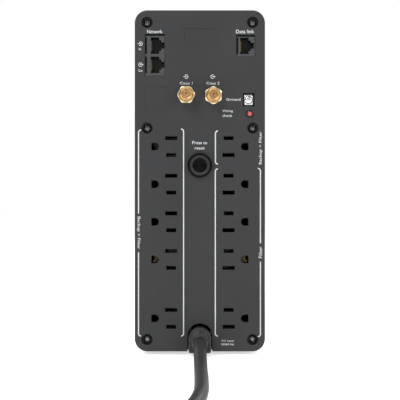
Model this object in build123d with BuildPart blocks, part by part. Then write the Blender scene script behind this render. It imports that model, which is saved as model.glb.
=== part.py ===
"""Tower uninterruptible power supply, modelled piece by piece in millimetres.

+Z is up, +X is to the right for someone facing the outlet side, and the outlet side faces -Y.
The origin is the middle of the footprint, on the surface that the feet stand on.
"""

import os
from math import cos, radians, sin, tan

from build123d import *

os.makedirs("parts", exist_ok=True)

# ---------------------------------------------------------------- driving dimensions

# Case
panel_width = 98.0
panel_height = 256.6
overall_depth = 382.0
foot_height = 2.5
wall = 2.5
corner_radius = 9.5
panel_depth = 10.0
bezel_depth = 30.0
bezel_wall = 3.0
bezel_overhang = 1.0
coax_standout = 10.5
touch_gap = 0.3
panel_edge_radius = 0.9
seam_chamfer = 0.4
opening_chamfer = 0.3
label_recess = 0.3
label_corner = 1.0
label_fields = ((0.25, 236.0, 24.0, 14.0), (-33.0, 190.5, 17.6, 17.6))

tip_y = -overall_depth / 2
rear_y = tip_y + coax_standout
front_y = overall_depth / 2
shell_back_y = rear_y + panel_depth
bezel_back_y = front_y - bezel_depth
shell_length = bezel_back_y - shell_back_y
inner_half_width = panel_width / 2 - wall
case_floor = foot_height + wall

# The outlet side's own plane: x across, y up from the panel's bottom edge, z out of the case
rear = Plane(origin=(0, rear_y, foot_height), x_dir=(1, 0, 0), z_dir=(0, -1, 0))
# The display side's plane, seen from the front
front = Plane(origin=(0, front_y, foot_height), x_dir=(-1, 0, 0), z_dir=(0, 1, 0))

# Case screws in their wells
screw_x = 39.7
screw_rows = (247.5, 168.0, 9.0)
well_radius = 4.25
well_wall = 1.0
well_floor = 4.5
screw_head_radius = 2.8
screw_head_height = 2.2
screw_head_taper = 12
screw_recess = (3.6, 0.8, 1.3)
screw_radius = 1.5
screw_length = 14.0
boss_half = 4.5
boss_length = 18.0
boss_floor = 1.0

# Outlets
outlet_pitch = 28.3
top_outlet = 154.1
bottom_outlet = 24.8
blade_x = 21.6
ground_x = 33.65
blade_spacing = 12.7
long_slot = 9.0
short_slot = 7.3
slot_height = 2.9
ground_width = 5.5
ground_height = 5.7
insert_inner_x = 12.5
insert_outer_x = 41.5
insert_half_height = 8.5
insert_depth = 20.0
contact_wall = 0.6
contact_length = 14.0
bus_thickness = 0.8
bus_width = 2.0
bus_tab = 3.0
neutral_bus_offset = 1.2
neutral_tab_offset = 4.5
hot_bus_offset = 3.9
hot_tab_offset = 3.5
ground_bus_offset = 3.4
ground_tab_offset = 2.9

# Network and data sockets
jack_left = -41.1
jack_width = 14.6
jack_bottom = 207.2
jack_pitch = 14.5
jack_count = 2
jack_frame_height = 31.2
jack_depth = 15.0
housing_gap = 0.2
socket_recess = 0.6
housing_slot = (1.3, 4.0)
housing_top_gap = 1.0
data_left = 27.6
data_width = 13.6
data_bottom = 222.0
data_height = 15.7
plug_cavity_width = 6.4
plug_cavity_height = 12.4
plug_cavity_depth = 13.0
latch_widths = (1.5, 2.3)
latch_heights = (8.0, 4.6)
contact_side_wall = 4.2
data_side_wall = 2.7
jack_contact_pitch = 1.02
jack_contact_size = 0.4
jack_contact_recess = 4.5
jack_contact_count = 8
network_board_thickness = 1.6
network_board_margins = (5.5, 1.5, 2.5)

# Coaxial connectors
coax_places = ((-10.3, 193.0), (10.2, 192.5))
coax_radius = 4.76
coax_chamfer = 0.8
coax_bore_radius = 0.9
coax_bore_depth = 9.0
coax_flange_radius = 6.6
coax_flange = 2.0
coax_nut_flats = 12.2
coax_nut_thickness = 2.6
coax_nut_turns = (0, 30)
coax_hole_gap = 0.1
coax_neck_radius = 4.6
coax_neck_reach = 0.3

# Ground terminal
ground_terminal = (36.7, 189.3)
terminal_opening = (8.6, 10.0)
terminal_wall = 1.2
terminal_depth = 9.5
clamp_size = (7.0, 7.9)
clamp_depth = 2.0
clamp_thickness = 1.4
clamp_corner = 0.6
terminal_screw_radius = 1.9
terminal_head_radius = 2.9
terminal_head_height = 1.5
terminal_head_taper = 8
terminal_head_gap = 0.05
running_gap = 0.08
terminal_screw_turn = 25
terminal_recess = (4.2, 0.8, 0.9)

# Fault light
led_place = (37.4, 178.7)
led_radius = 2.1
led_flange_radius = 2.7
led_neck_radius = 2.5
led_flange = 0.6
led_length = 8.0
led_dome = 0.6
led_dome_radius = 1.2

# Resettable circuit breaker
breaker_place = (0.0, 140.0)
breaker_nut_radius = 9.25
breaker_nut_height = 2.6
bushing_radius = 7.5
bushing_standout = 1.5
dish_radius = 7.1
dish_depth = 2.2
breaker_button_radius = 4.75
breaker_button_length = 20.0
breaker_button_reach = 1.4
breaker_body_size = (15.0, 32.0, 34.0)
breaker_nut_edge = 0.5
breaker_button_edge = 0.8
breaker_ring_insets = (1.4, 2.2)
breaker_ring_depth = 0.5

# Cord exit
notch_width = 18.7
notch_height = 21.2
relief_width = 16.9
relief_bottom = 0.2
relief_top = 18.6
relief_standout = 12.0
relief_inside = 9.5
relief_edge = 1.2
relief_flange = (5.0, 2.0, 3.0)
exit_height = 11.0
boot_length = 24.0
boot_root_radius = 7.2
boot_tip_radius = 5.5
boot_grooves = 4
boot_groove_depth = 0.9
boot_groove_width = 1.6

# Power cord
cord_diameter = 9.0
cord_radius = cord_diameter / 2
coil_centre_y = -538.0
coil_outer_line = 62.5
coil_inner_line = 43.9
coil_layers = 2
coil_layer_gap = 0.2
tie_width = 10.0
tie_thickness = 0.8
tie_angle = 25.0
corner_share = 0.45

# Plug on the cord
plug_width = 26.0
plug_height = 23.0
plug_body_length = 30.0
plug_boot_length = 18.0
plug_boot_radius = 5.6
plug_corner = 5.0
plug_boot_flare = 2.6
plug_pin_drop = 1.5
blade_length = 16.0
blade_width = 6.35
blade_thickness = 1.5
pin_length = 18.0
pin_radius = 2.4
pin_offset = 11.9

# Display side
window_size = (64.0, 84.0)
window_middle = 200.0
window_thickness = 1.6
window_gap = 0.15
window_ledge = 3.0
window_corner = 4.0
window_ledge_corner = 2.0
bezel_edge = 5.0
bezel_side_wall = 3.5
lcd_size = (54.0, 40.0)
lcd_middle = 212.0
lcd_gap = 0.4
lcd_corner = 1.0
button_row = 136.0
button_spacing = 22.0
power_button_radius = 7.0
side_button_size = (15.0, 8.0)
button_standout = 1.0
button_gap = 0.3
button_rim = 1.5
button_flange = 1.2
button_flange_gap = 0.2
button_travel = 1.2
button_edge = 0.7
stem_radius = 2.0
stem_end = 7.5
display_board_size = (70.0, 132.0)
display_board_middle = 184.0
display_board_inset = 13.5
board_thickness = 1.6
post_radius = 2.6
post_x = 32.0
post_rows = (123.0, 246.0)
post_hole = 7.0
post_screw_reach = 6.0
small_screw_radius = 1.0
small_head_radius = 2.2
small_head_height = 1.4
switch_size = 6.0
switch_height = 3.5
plunger_radius = 1.75
plunger_gap = 0.1
front_rib_size = (70.0, 2.4, 1.0)
front_rib_row = 60.0
front_rib_pitch = 9.0
front_rib_count = 9

# Battery bay
battery_size = (65.0, 151.0, 94.0)
battery_middle_y = 80.0
battery_rest_gap = 0.2
bay_gap = 1.5
spacer_thickness = 7.0
spacer_margin = (4.0, 28.0)
spacer_shift = 12.0
battery_corner = 2.0
battery_lid = 12.0
battery_lid_groove = 1.0
terminal_inset = (12.0, 10.0)
terminal_tab = (6.35, 0.8, 6.0)
cover_margin = 4.0
cover_thickness = 2.5
cover_travel = 8.0
cover_corner = 2.0
cover_sink = 0.1
grip_slot = (36.0, 1.6, 0.8)
grip_inset = 18.0
grip_pitch = 4.0
grip_count = 6
hook_root = 1.0
hook_width = 2.8
hook_length = 3.0
hook_lip = 4.0
hook_thickness = 1.5
hook_places = (0.2, 0.8)
ledge_thickness = 2.5
battery_rib = 2.0
battery_rib_share = 0.2
battery_rib_gap = 0.5

# Feet
foot_radius = 6.0
foot_edge = 0.6
foot_x = 30.0
rear_foot_y = -145.0
front_foot_y = front_y - bezel_depth / 2

# Power section
transformer_size = (50.0, 96.0, 80.0)
transformer_middle_y = -87.0
transformer_window = (16.0, 48.0)
transformer_limb = 16.0
winding_overhang = 14.0
winding_corner = 10.0
strap_thickness = 1.5
strap_foot = 14.0
mounting_boss_height = 3.0
mounting_boss_radius = 5.0
transformer_screw_x = 18.0
main_board_x = -40.0
main_board_y = (-135.0, -5.0)
main_board_z = (98.0, 240.0)
standoff_radius = 3.5
standoff_inset = 8.0
standoff_hole = 5.0
board_screw_reach = 4.0
sink_size = (34.0, 12.0, 60.0)
sink_plate = 3.0
sink_fins = 5
sink_fin = 2.0
sink_ys = (-112.0, -84.0)
sink_low = 150.0
transistor_size = (15.0, 4.5, 10.0)
transistor_count = 3
transistor_pitch = 19.0
transistor_offset = 6.0
capacitor_radius = 9.0
capacitor_height = 32.0
capacitor_edge = 1.0
capacitor_places = ((-52.0, 160.0), (-52.0, 184.0), (-52.0, 208.0))
relay_size = (16.0, 19.0, 28.0)
relay_edge = 0.8
relay_ys = (-128.0, -104.0, -80.0, -56.0)
relay_low = 110.0
choke_ring = 11.0
choke_wire = 5.0
choke_place = (-26.0, 150.0)
buzzer_radius = 6.0
buzzer_hole = 1.0
buzzer_height = 8.0
buzzer_place = (-24.0, 205.0)

# Vents
vent_slot = (2.6, 34.0)
vent_pitch = 7.0
vent_count = 12
vent_middle_y = -80.0
vent_rows = (70.0, 205.0)

# ---------------------------------------------------------------- shared places

screw_places = [(side * screw_x, row) for side in (-1, 1) for row in screw_rows]
outlet_rows = [top_outlet - outlet_pitch * step for step in range(4)] + [bottom_outlet]
outlet_places = [(side, row) for side in (-1, 1) for row in outlet_rows]
bay_half_x = battery_size[0] / 2 + bay_gap
bay_half_y = battery_size[1] / 2 + bay_gap
cover_half_x = bay_half_x + cover_margin
cover_half_y = bay_half_y + cover_margin - bay_gap
post_places = [(side * post_x, row) for side in (-1, 1) for row in post_rows]
button_places = {"mute": -button_spacing, "power": 0.0, "menu": button_spacing}


def depth(distance):
    """The outlet side's plane moved into the case by a distance."""
    return rear.offset(-distance)


def inset(distance):
    """The display side's plane moved into the case by a distance."""
    return front.offset(-distance)


def keep(piece, name):
    """Names a finished piece and writes its file."""
    piece.part.label = name
    export_step(piece.part, f"parts/{name}.step")


def box_between(low, high, mode=Mode.ADD):
    """A box given by two opposite corners."""
    size = [top - bottom for bottom, top in zip(low, high)]
    with Locations(low):
        Box(*size, align=(Align.MIN, Align.MIN, Align.MIN), mode=mode)


def slot_lengths(side):
    """Upper and lower blade slot: the outlets of the two columns are turned end for end."""
    return (long_slot, short_slot) if side < 0 else (short_slot, long_slot)


def blade_places(side, row):
    """Middle and length of the two blade slots of one outlet."""
    upper, lower = slot_lengths(side)
    middle = side * blade_x
    return [(middle, row + blade_spacing / 2, upper), (middle, row - blade_spacing / 2, lower)]


def ground_hole(side, row, grow=0.0):
    """D-shaped ground hole: flat on the outboard side, round towards the blades."""
    radius = ground_height / 2 + grow
    flat = ground_width - ground_height / 2
    edge = side * (ground_x + ground_width / 2 + grow)
    round_centre = edge - side * (flat + grow)
    with Locations((round_centre, row)):
        Circle(radius)
    with Locations(((edge + round_centre) / 2, row)):
        Rectangle(flat + grow, 2 * radius)


def arch(width, bottom, top):
    """An upright outline with a flat foot and a half-round head."""
    shoulder = top - width / 2
    with Locations((0, shoulder)):
        Circle(width / 2)
    with Locations((0, (bottom + shoulder) / 2)):
        Rectangle(width, shoulder - bottom)


def cord_radii(points):
    """Bend radius at each inner point: as large as the two runs beside it allow."""
    radii = []
    for before, corner, after in zip(points, points[1:], points[2:]):
        arriving = Vector(*corner) - Vector(*before)
        leaving = Vector(*after) - Vector(*corner)
        half_turn = radians(arriving.get_angle(leaving)) / 2
        radii.append(corner_share * min(arriving.length, leaving.length) / tan(half_turn))
    return radii


def tube(points, radius, radii):
    """A round tube along straight runs joined by tangent arcs."""
    with BuildPart() as piece:
        with BuildLine() as path:
            FilletPolyline(*points, radius=radii)
        start = path.line @ 0
        with BuildSketch(Plane(origin=start, z_dir=path.line % 0)):
            Circle(radius)
        sweep(path=path.line)
    return piece.part


# ---------------------------------------------------------------- outlet panel

with BuildPart() as rear_panel:
    with BuildSketch(rear):
        with Locations((0, panel_height / 2)):
            RectangleRounded(panel_width, panel_height, corner_radius)
    extrude(amount=-panel_depth)
    fillet(rear_panel.faces().sort_by(Axis.Y)[0].edges(), radius=panel_edge_radius)
    chamfer(rear_panel.faces().sort_by(Axis.Y)[-1].edges(), length=seam_chamfer)
    with BuildSketch(depth(wall)):
        with Locations((0, panel_height / 2)):
            RectangleRounded(panel_width - 2 * wall, panel_height - 2 * wall, corner_radius - wall)
    extrude(amount=wall - panel_depth, mode=Mode.SUBTRACT)
    with BuildSketch(depth(wall)):
        with Locations(*screw_places):
            Circle(well_radius + well_wall)
    extrude(amount=wall - panel_depth)
    with BuildSketch(rear):
        with Locations(*screw_places):
            Circle(well_radius)
    extrude(amount=well_floor - panel_depth, mode=Mode.SUBTRACT)
    with BuildSketch(rear):
        with Locations(*screw_places):
            Circle(screw_radius)
    extrude(amount=-panel_depth, mode=Mode.SUBTRACT)
    # blade slots and ground holes
    with BuildSketch(rear):
        for side, row in outlet_places:
            for middle, height, length in blade_places(side, row):
                with Locations((middle, height)):
                    Rectangle(length, slot_height)
            ground_hole(side, row)
    extrude(amount=-wall, mode=Mode.SUBTRACT)
    # windows for the sockets, the terminal, the light, the connectors and the breaker
    with BuildSketch(rear):
        with Locations((jack_left + jack_width / 2, jack_bottom + jack_frame_height / 2)):
            Rectangle(jack_width + 2 * housing_gap, jack_frame_height + 2 * housing_gap)
        with Locations((data_left + data_width / 2, data_bottom + data_height / 2)):
            Rectangle(data_width + 2 * housing_gap, data_height + 2 * housing_gap)
        with Locations(ground_terminal):
            Rectangle(*terminal_opening)
        with Locations(led_place):
            Circle(led_neck_radius)
        with Locations(*coax_places):
            Circle(coax_neck_radius + coax_hole_gap)
        with Locations(breaker_place):
            Circle(bushing_radius)
    extrude(amount=-wall, mode=Mode.SUBTRACT)
    # notch for the cord's strain relief
    with BuildSketch(rear):
        arch(notch_width, 0, notch_height)
    extrude(amount=-panel_depth, mode=Mode.SUBTRACT)
    # broken edges round every opening, as a mould leaves them
    chamfer(rear_panel.faces().sort_by(Axis.Y)[0].inner_wires().edges(), length=opening_chamfer)
    # shallow label fields
    with BuildSketch(rear):
        for across, up, width, height in label_fields:
            with Locations((across, up)):
                RectangleRounded(width, height, label_corner)
    extrude(amount=-label_recess, mode=Mode.SUBTRACT)
keep(rear_panel, "rear_panel")

# ---------------------------------------------------------------- case screws

with BuildPart() as panel_screws:
    head_depth = panel_depth - well_floor
    with BuildSketch(depth(head_depth)):
        with Locations(*screw_places):
            Circle(screw_head_radius)
    extrude(amount=screw_head_height, taper=screw_head_taper)
    with BuildSketch(depth(head_depth)):
        with Locations(*screw_places):
            Circle(screw_radius)
    extrude(amount=-screw_length)
    with BuildSketch(depth(head_depth - screw_head_height)):
        for place in screw_places:
            with Locations(Location(place, 45)):
                Rectangle(screw_recess[0], screw_recess[1])
                Rectangle(screw_recess[1], screw_recess[0])
    extrude(amount=-screw_recess[2], mode=Mode.SUBTRACT)
keep(panel_screws, "panel_screws")

# ---------------------------------------------------------------- case shells

recess_half_x = cover_half_x + touch_gap
recess_front_y = battery_middle_y + cover_half_y + touch_gap
recess_rear_y = battery_middle_y - cover_half_y - cover_travel - touch_gap
hook_x = bay_half_x + hook_width / 2 + touch_gap
hook_ys = [
    battery_middle_y - cover_half_y + 2 * cover_half_y * share for share in hook_places
]
standoff_places = [
    (y, z)
    for y in (main_board_y[0] + standoff_inset, main_board_y[1] - standoff_inset)
    for z in (main_board_z[0] + standoff_inset, main_board_z[1] - standoff_inset)
]
transformer_screw_places = [
    (side * transformer_screw_x, transformer_middle_y + end * (transformer_size[1] + strap_foot) / 2)
    for side in (-1, 1)
    for end in (-1, 1)
]


def shell(side):
    """One half of the case: side wall, half of the top and half of the bottom."""
    with BuildPart() as half:
        with BuildSketch(depth(panel_depth)):
            with Locations((0, panel_height / 2)):
                RectangleRounded(panel_width, panel_height, corner_radius)
                RectangleRounded(
                    panel_width - 2 * wall,
                    panel_height - 2 * wall,
                    corner_radius - wall,
                    mode=Mode.SUBTRACT,
                )
        extrude(amount=-shell_length)
        seams = half.faces().sort_by(Axis.Y)
        chamfer(seams[0].outer_wire().edges() + seams[-1].outer_wire().edges(), length=seam_chamfer)
        # thicker floor round the battery opening, with the recess that its cover slides in
        box_between(
            (-recess_half_x - wall, recess_rear_y - wall, case_floor),
            (recess_half_x + wall, bezel_back_y, case_floor + ledge_thickness),
        )
        box_between(
            (-recess_half_x, recess_rear_y, foot_height),
            (recess_half_x, recess_front_y, case_floor),
            mode=Mode.SUBTRACT,
        )
        box_between(
            (-bay_half_x, battery_middle_y - bay_half_y, foot_height),
            (bay_half_x, battery_middle_y + bay_half_y, case_floor + ledge_thickness),
            mode=Mode.SUBTRACT,
        )
        for y in hook_ys:
            box_between(
                (-hook_x - hook_width / 2 - touch_gap, y - cover_travel - touch_gap, case_floor),
                (
                    hook_x + hook_width / 2 + touch_gap,
                    y + hook_length + touch_gap,
                    case_floor + ledge_thickness,
                ),
                mode=Mode.SUBTRACT,
            )
        # bosses for the case screws
        for place_x, row in screw_places:
            outward = inner_half_width if place_x > 0 else -inner_half_width
            inward = place_x - boss_half if place_x > 0 else place_x + boss_half
            box_between(
                (min(outward, inward), shell_back_y, foot_height + row - boss_half),
                (max(outward, inward), shell_back_y + boss_length, foot_height + row + boss_half),
            )
        with BuildSketch(depth(panel_depth)):
            with Locations(*screw_places):
                Circle(screw_radius)
        extrude(amount=well_floor - screw_length, mode=Mode.SUBTRACT)
        # ribs that hold the batteries upright
        for share in (-battery_rib_share, battery_rib_share):
            rib_y = battery_middle_y + share * battery_size[1]
            for end in (-1, 1):
                reach = sorted((end * (battery_size[0] / 2 + battery_rib_gap), end * inner_half_width))
                box_between(
                    (reach[0], rib_y - battery_rib / 2, case_floor + ledge_thickness),
                    (reach[1], rib_y + battery_rib / 2, case_floor + 2 * battery_size[2]),
                )
        # bosses under the transformer
        with BuildSketch(Plane.XY.offset(case_floor)):
            with Locations(*transformer_screw_places):
                Circle(mounting_boss_radius)
        extrude(amount=mounting_boss_height)
        with BuildSketch(Plane.XY.offset(foot_height + boss_floor)):
            with Locations(*transformer_screw_places):
                Circle(screw_radius)
        extrude(amount=wall + mounting_boss_height, mode=Mode.SUBTRACT)
        # standoffs of the main board
        if side < 0:
            with BuildSketch(Plane.YZ.offset(main_board_x)):
                with Locations(*standoff_places):
                    Circle(standoff_radius)
            extrude(amount=-(inner_half_width + main_board_x))
            with BuildSketch(Plane.YZ.offset(main_board_x)):
                with Locations(*standoff_places):
                    Circle(small_screw_radius)
            extrude(amount=-standoff_hole, mode=Mode.SUBTRACT)
        # vents in the side wall
        wall_plane = Plane.YZ.offset(side * inner_half_width - side)
        with BuildSketch(wall_plane):
            for row in vent_rows:
                with Locations((vent_middle_y, foot_height + row)):
                    with GridLocations(vent_pitch, 0, vent_count, 1):
                        SlotOverall(vent_slot[1], vent_slot[0], rotation=90)
        extrude(amount=side * 2 * wall, mode=Mode.SUBTRACT)
        split(bisect_by=Plane.YZ, keep=Keep.TOP if side > 0 else Keep.BOTTOM)
    return half


left_shell = shell(-1)
keep(left_shell, "left_shell")
right_shell = shell(1)
keep(right_shell, "right_shell")

# ---------------------------------------------------------------- battery cover

with BuildPart() as battery_cover:
    box_between(
        (-cover_half_x, battery_middle_y - cover_half_y, foot_height),
        (cover_half_x, battery_middle_y + cover_half_y, foot_height + cover_thickness - cover_sink),
    )
    fillet(battery_cover.edges().filter_by(Axis.Z), radius=cover_corner)
    hook_top = case_floor + ledge_thickness + touch_gap
    for y in hook_ys:
        for side in (-1, 1):
            with Locations((side * hook_x, y, foot_height + hook_root)):
                Box(
                    hook_width,
                    hook_length,
                    hook_top + hook_thickness - foot_height - hook_root,
                    align=(Align.CENTER, Align.MIN, Align.MIN),
                )
            with Locations((side * hook_x, y, hook_top)):
                Box(
                    hook_width,
                    hook_length + hook_lip,
                    hook_thickness,
                    align=(Align.CENTER, Align.MIN, Align.MIN),
                )
    # finger grip: a row of shallow grooves across the outside
    with BuildSketch(Plane.XY.offset(foot_height)):
        with Locations((0, battery_middle_y - cover_half_y + grip_inset)):
            with GridLocations(0, grip_pitch, 1, grip_count):
                SlotOverall(grip_slot[0], grip_slot[1])
    extrude(amount=grip_slot[2], mode=Mode.SUBTRACT)
keep(battery_cover, "battery_cover")

# ---------------------------------------------------------------- feet

with BuildPart() as rubber_feet:
    with BuildSketch(Plane.XY):
        for y in (rear_foot_y, front_foot_y):
            with Locations((-foot_x, y), (foot_x, y)):
                Circle(foot_radius)
    extrude(amount=foot_height)
    fillet(rubber_feet.edges().group_by(Axis.Z)[0], radius=foot_edge)
keep(rubber_feet, "rubber_feet")

# ---------------------------------------------------------------- outlets

insert_back = wall + insert_depth


def outlet_inserts(side):
    """The moulded inserts of one column of outlets, with the cavities of their contacts."""
    with BuildPart() as inserts:
        middle_x = side * (insert_inner_x + insert_outer_x) / 2
        with BuildSketch(depth(wall)):
            for row in outlet_rows:
                with Locations((middle_x, row)):
                    Rectangle(insert_outer_x - insert_inner_x, 2 * insert_half_height)
        extrude(amount=-insert_depth)
        with BuildSketch(depth(wall)):
            for row in outlet_rows:
                for middle, height, length in blade_places(side, row):
                    with Locations((middle, height)):
                        Rectangle(length + 2 * contact_wall, slot_height + 2 * contact_wall)
                ground_hole(side, row, contact_wall)
        extrude(amount=-insert_depth, mode=Mode.SUBTRACT)
    return inserts


outlet_inserts_left = outlet_inserts(-1)
keep(outlet_inserts_left, "outlet_inserts_left")
outlet_inserts_right = outlet_inserts(1)
keep(outlet_inserts_right, "outlet_inserts_right")


def blade_contacts(wanted, strip_x, tab_reach):
    """Sleeves behind the blade slots of one length, joined by a bus strip on each side."""
    with BuildPart() as contacts:
        with BuildSketch(depth(insert_back - contact_length)):
            for side, row in outlet_places:
                for middle, height, length in blade_places(side, row):
                    if length == wanted:
                        with Locations((middle, height)):
                            Rectangle(length + 2 * contact_wall, slot_height + 2 * contact_wall)
                            Rectangle(length, slot_height, mode=Mode.SUBTRACT)
        extrude(amount=-contact_length)
        with BuildSketch(depth(insert_back)):
            for side, row in outlet_places:
                for middle, height, length in blade_places(side, row):
                    if length == wanted:
                        with Locations((side * (strip_x + tab_reach) / 2, height)):
                            Rectangle(abs(tab_reach - strip_x) + bus_width, bus_tab)
            for side in (-1, 1):
                with Locations((side * strip_x, (top_outlet + bottom_outlet) / 2)):
                    Rectangle(bus_width, top_outlet - bottom_outlet + blade_spacing)
        extrude(amount=-bus_thickness)
    return contacts


neutral_contacts = blade_contacts(
    long_slot, insert_inner_x + neutral_bus_offset, blade_x - neutral_tab_offset
)
keep(neutral_contacts, "neutral_contacts")
hot_contacts = blade_contacts(short_slot, ground_x - hot_bus_offset, blade_x + hot_tab_offset)
keep(hot_contacts, "hot_contacts")

with BuildPart() as ground_contacts:
    with BuildSketch(depth(insert_back - contact_length)):
        for side, row in outlet_places:
            ground_hole(side, row, contact_wall)
    extrude(amount=-contact_length)
    with BuildSketch(depth(insert_back - contact_length)):
        for side, row in outlet_places:
            ground_hole(side, row)
    extrude(amount=-contact_length, mode=Mode.SUBTRACT)
    with BuildSketch(depth(insert_back)):
        for side in (-1, 1):
            with Locations((side * (ground_x + ground_bus_offset), (top_outlet + bottom_outlet) / 2)):
                Rectangle(bus_width, top_outlet - bottom_outlet + 2 * ground_height)
            for row in outlet_rows:
                with Locations((side * (ground_x + ground_tab_offset), row)):
                    Rectangle(bus_tab, bus_tab)
    extrude(amount=-bus_thickness)
keep(ground_contacts, "ground_contacts")

# ---------------------------------------------------------------- network and data sockets

jack_middles = [
    jack_bottom + jack_frame_height / 2 + (step - 0.5) * jack_pitch for step in range(jack_count)
]
data_middle = data_bottom + data_height / 2
cavity_left = jack_left + contact_side_wall
data_cavity_left = data_left + data_side_wall
sockets = [(cavity_left, middle) for middle in jack_middles] + [(data_cavity_left, data_middle)]


def plug_cavity(left, middle):
    """Outline of a modular socket turned on its side: contacts on the left, latch on the right."""
    with Locations((left + plug_cavity_width / 2, middle)):
        Rectangle(plug_cavity_width, plug_cavity_height)
    edge = left + plug_cavity_width
    for width, height in zip(latch_widths, latch_heights):
        with Locations((edge + width / 2, middle)):
            Rectangle(width, height)
        edge += width


def socket_housing(left, bottom, width, height, cavities):
    """A moulded housing with one cavity for each plug."""
    with BuildPart() as housing:
        with BuildSketch(depth(socket_recess)):
            with Locations((left + width / 2, bottom + (height - housing_top_gap) / 2)):
                Rectangle(width, height - housing_top_gap)
        extrude(amount=socket_recess - jack_depth)
        with BuildSketch(rear):
            for cavity_x, middle in cavities:
                plug_cavity(cavity_x, middle)
        extrude(amount=-plug_cavity_depth, mode=Mode.SUBTRACT)
        # slot along the contact side, where the contact carrier is pushed in
        with BuildSketch(rear):
            for _, middle in cavities:
                with Locations((left + housing_slot[0] / 2, middle)):
                    Rectangle(housing_slot[0], plug_cavity_height)
        extrude(amount=-housing_slot[1], mode=Mode.SUBTRACT)
    return housing


network_jacks = socket_housing(jack_left, jack_bottom, jack_width, jack_frame_height, sockets[:2])
keep(network_jacks, "network_jacks")
data_port = socket_housing(data_left, data_bottom, data_width, data_height, sockets[2:])
keep(data_port, "data_port")

with BuildPart() as jack_contacts:
    with BuildSketch(depth(jack_contact_recess)):
        for cavity_x, middle in sockets:
            with Locations((cavity_x + jack_contact_size, middle)):
                with GridLocations(0, jack_contact_pitch, 1, jack_contact_count):
                    Rectangle(2 * jack_contact_size, jack_contact_size)
    extrude(amount=jack_contact_recess - plug_cavity_depth)
keep(jack_contacts, "jack_contacts")

board_low = ground_terminal[1] - network_board_margins[0]
board_high = screw_rows[0] - boss_half - network_board_margins[1]
with BuildPart() as network_board:
    with BuildSketch(depth(jack_depth)):
        with Locations((0, (board_low + board_high) / 2)):
            Rectangle(2 * (inner_half_width - network_board_margins[2]), board_high - board_low)
    extrude(amount=-network_board_thickness)
keep(network_board, "network_board")

# ---------------------------------------------------------------- coaxial connectors

coax_thread_start = coax_nut_thickness + coax_neck_reach
with BuildPart() as coax_connectors:
    with BuildSketch(depth(jack_depth)):
        with Locations(*coax_places):
            Circle(coax_neck_radius)
    extrude(amount=jack_depth + coax_thread_start)
    with BuildSketch(rear.offset(coax_thread_start)):
        with Locations(*coax_places):
            Circle(coax_radius)
    extrude(amount=coax_standout - coax_thread_start)
    chamfer(
        coax_connectors.edges().filter_by(GeomType.CIRCLE).group_by(Axis.Y)[0],
        length=coax_chamfer,
    )
    with BuildSketch(depth(wall)):
        with Locations(*coax_places):
            Circle(coax_flange_radius)
    extrude(amount=-coax_flange)
    with BuildSketch(rear.offset(coax_standout)):
        with Locations(*coax_places):
            Circle(coax_bore_radius)
    extrude(amount=-coax_bore_depth, mode=Mode.SUBTRACT)
keep(coax_connectors, "coax_connectors")

with BuildPart() as coax_nuts:
    with BuildSketch(rear):
        for place, turn in zip(coax_places, coax_nut_turns):
            with Locations(place):
                RegularPolygon(coax_nut_flats / 2, 6, major_radius=False, rotation=turn)
                Circle(coax_neck_radius, mode=Mode.SUBTRACT)
    extrude(amount=coax_nut_thickness)
keep(coax_nuts, "coax_nuts")

# ---------------------------------------------------------------- ground terminal

terminal_outer = [size + 2 * terminal_wall for size in terminal_opening]
nut_front = clamp_depth + clamp_thickness + touch_gap
with BuildPart() as ground_terminal_cup:
    with BuildSketch(depth(wall)):
        with Locations(ground_terminal):
            Rectangle(*terminal_outer)
    extrude(amount=wall - terminal_depth)
    with BuildSketch(depth(wall)):
        with Locations(ground_terminal):
            Rectangle(*terminal_opening)
    extrude(amount=wall - nut_front, mode=Mode.SUBTRACT)
    with BuildSketch(depth(nut_front)):
        with Locations(ground_terminal):
            Circle(terminal_screw_radius + running_gap)
    extrude(amount=nut_front - terminal_depth, mode=Mode.SUBTRACT)
keep(ground_terminal_cup, "ground_terminal_cup")

with BuildPart() as ground_clamp_plate:
    with BuildSketch(depth(clamp_depth)):
        with Locations(ground_terminal):
            RectangleRounded(*clamp_size, clamp_corner)
            Circle(terminal_screw_radius + running_gap, mode=Mode.SUBTRACT)
    extrude(amount=-clamp_thickness)
keep(ground_clamp_plate, "ground_clamp_plate")

with BuildPart() as ground_screw:
    with BuildSketch(depth(clamp_depth - terminal_head_gap)):
        with Locations(ground_terminal):
            Circle(terminal_head_radius)
    extrude(amount=terminal_head_height, taper=terminal_head_taper)
    with BuildSketch(depth(clamp_depth - terminal_head_gap)):
        with Locations(ground_terminal):
            Circle(terminal_screw_radius)
    extrude(amount=-(terminal_depth - clamp_depth))
    with BuildSketch(depth(clamp_depth - terminal_head_height - terminal_head_gap)):
        with Locations(Location(ground_terminal, terminal_screw_turn)):
            Rectangle(terminal_recess[0], terminal_recess[1])
            Rectangle(terminal_recess[1], terminal_recess[0])
    extrude(amount=-terminal_recess[2], mode=Mode.SUBTRACT)
keep(ground_screw, "ground_screw")

# ---------------------------------------------------------------- fault light

with BuildPart() as led_holder:
    with BuildSketch(rear):
        with Locations(led_place):
            Circle(led_flange_radius)
            Circle(led_radius, mode=Mode.SUBTRACT)
    extrude(amount=led_flange)
    with BuildSketch(rear):
        with Locations(led_place):
            Circle(led_neck_radius)
            Circle(led_radius, mode=Mode.SUBTRACT)
    extrude(amount=-led_length)
keep(led_holder, "led_holder")

with BuildPart() as fault_led:
    with BuildSketch(depth(led_length)):
        with Locations(led_place):
            Circle(led_radius)
    extrude(amount=led_length + led_flange + led_dome)
    fillet(fault_led.faces().sort_by(Axis.Y)[0].edges(), radius=led_dome_radius)
keep(fault_led, "fault_led")

# ---------------------------------------------------------------- circuit breaker

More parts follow.
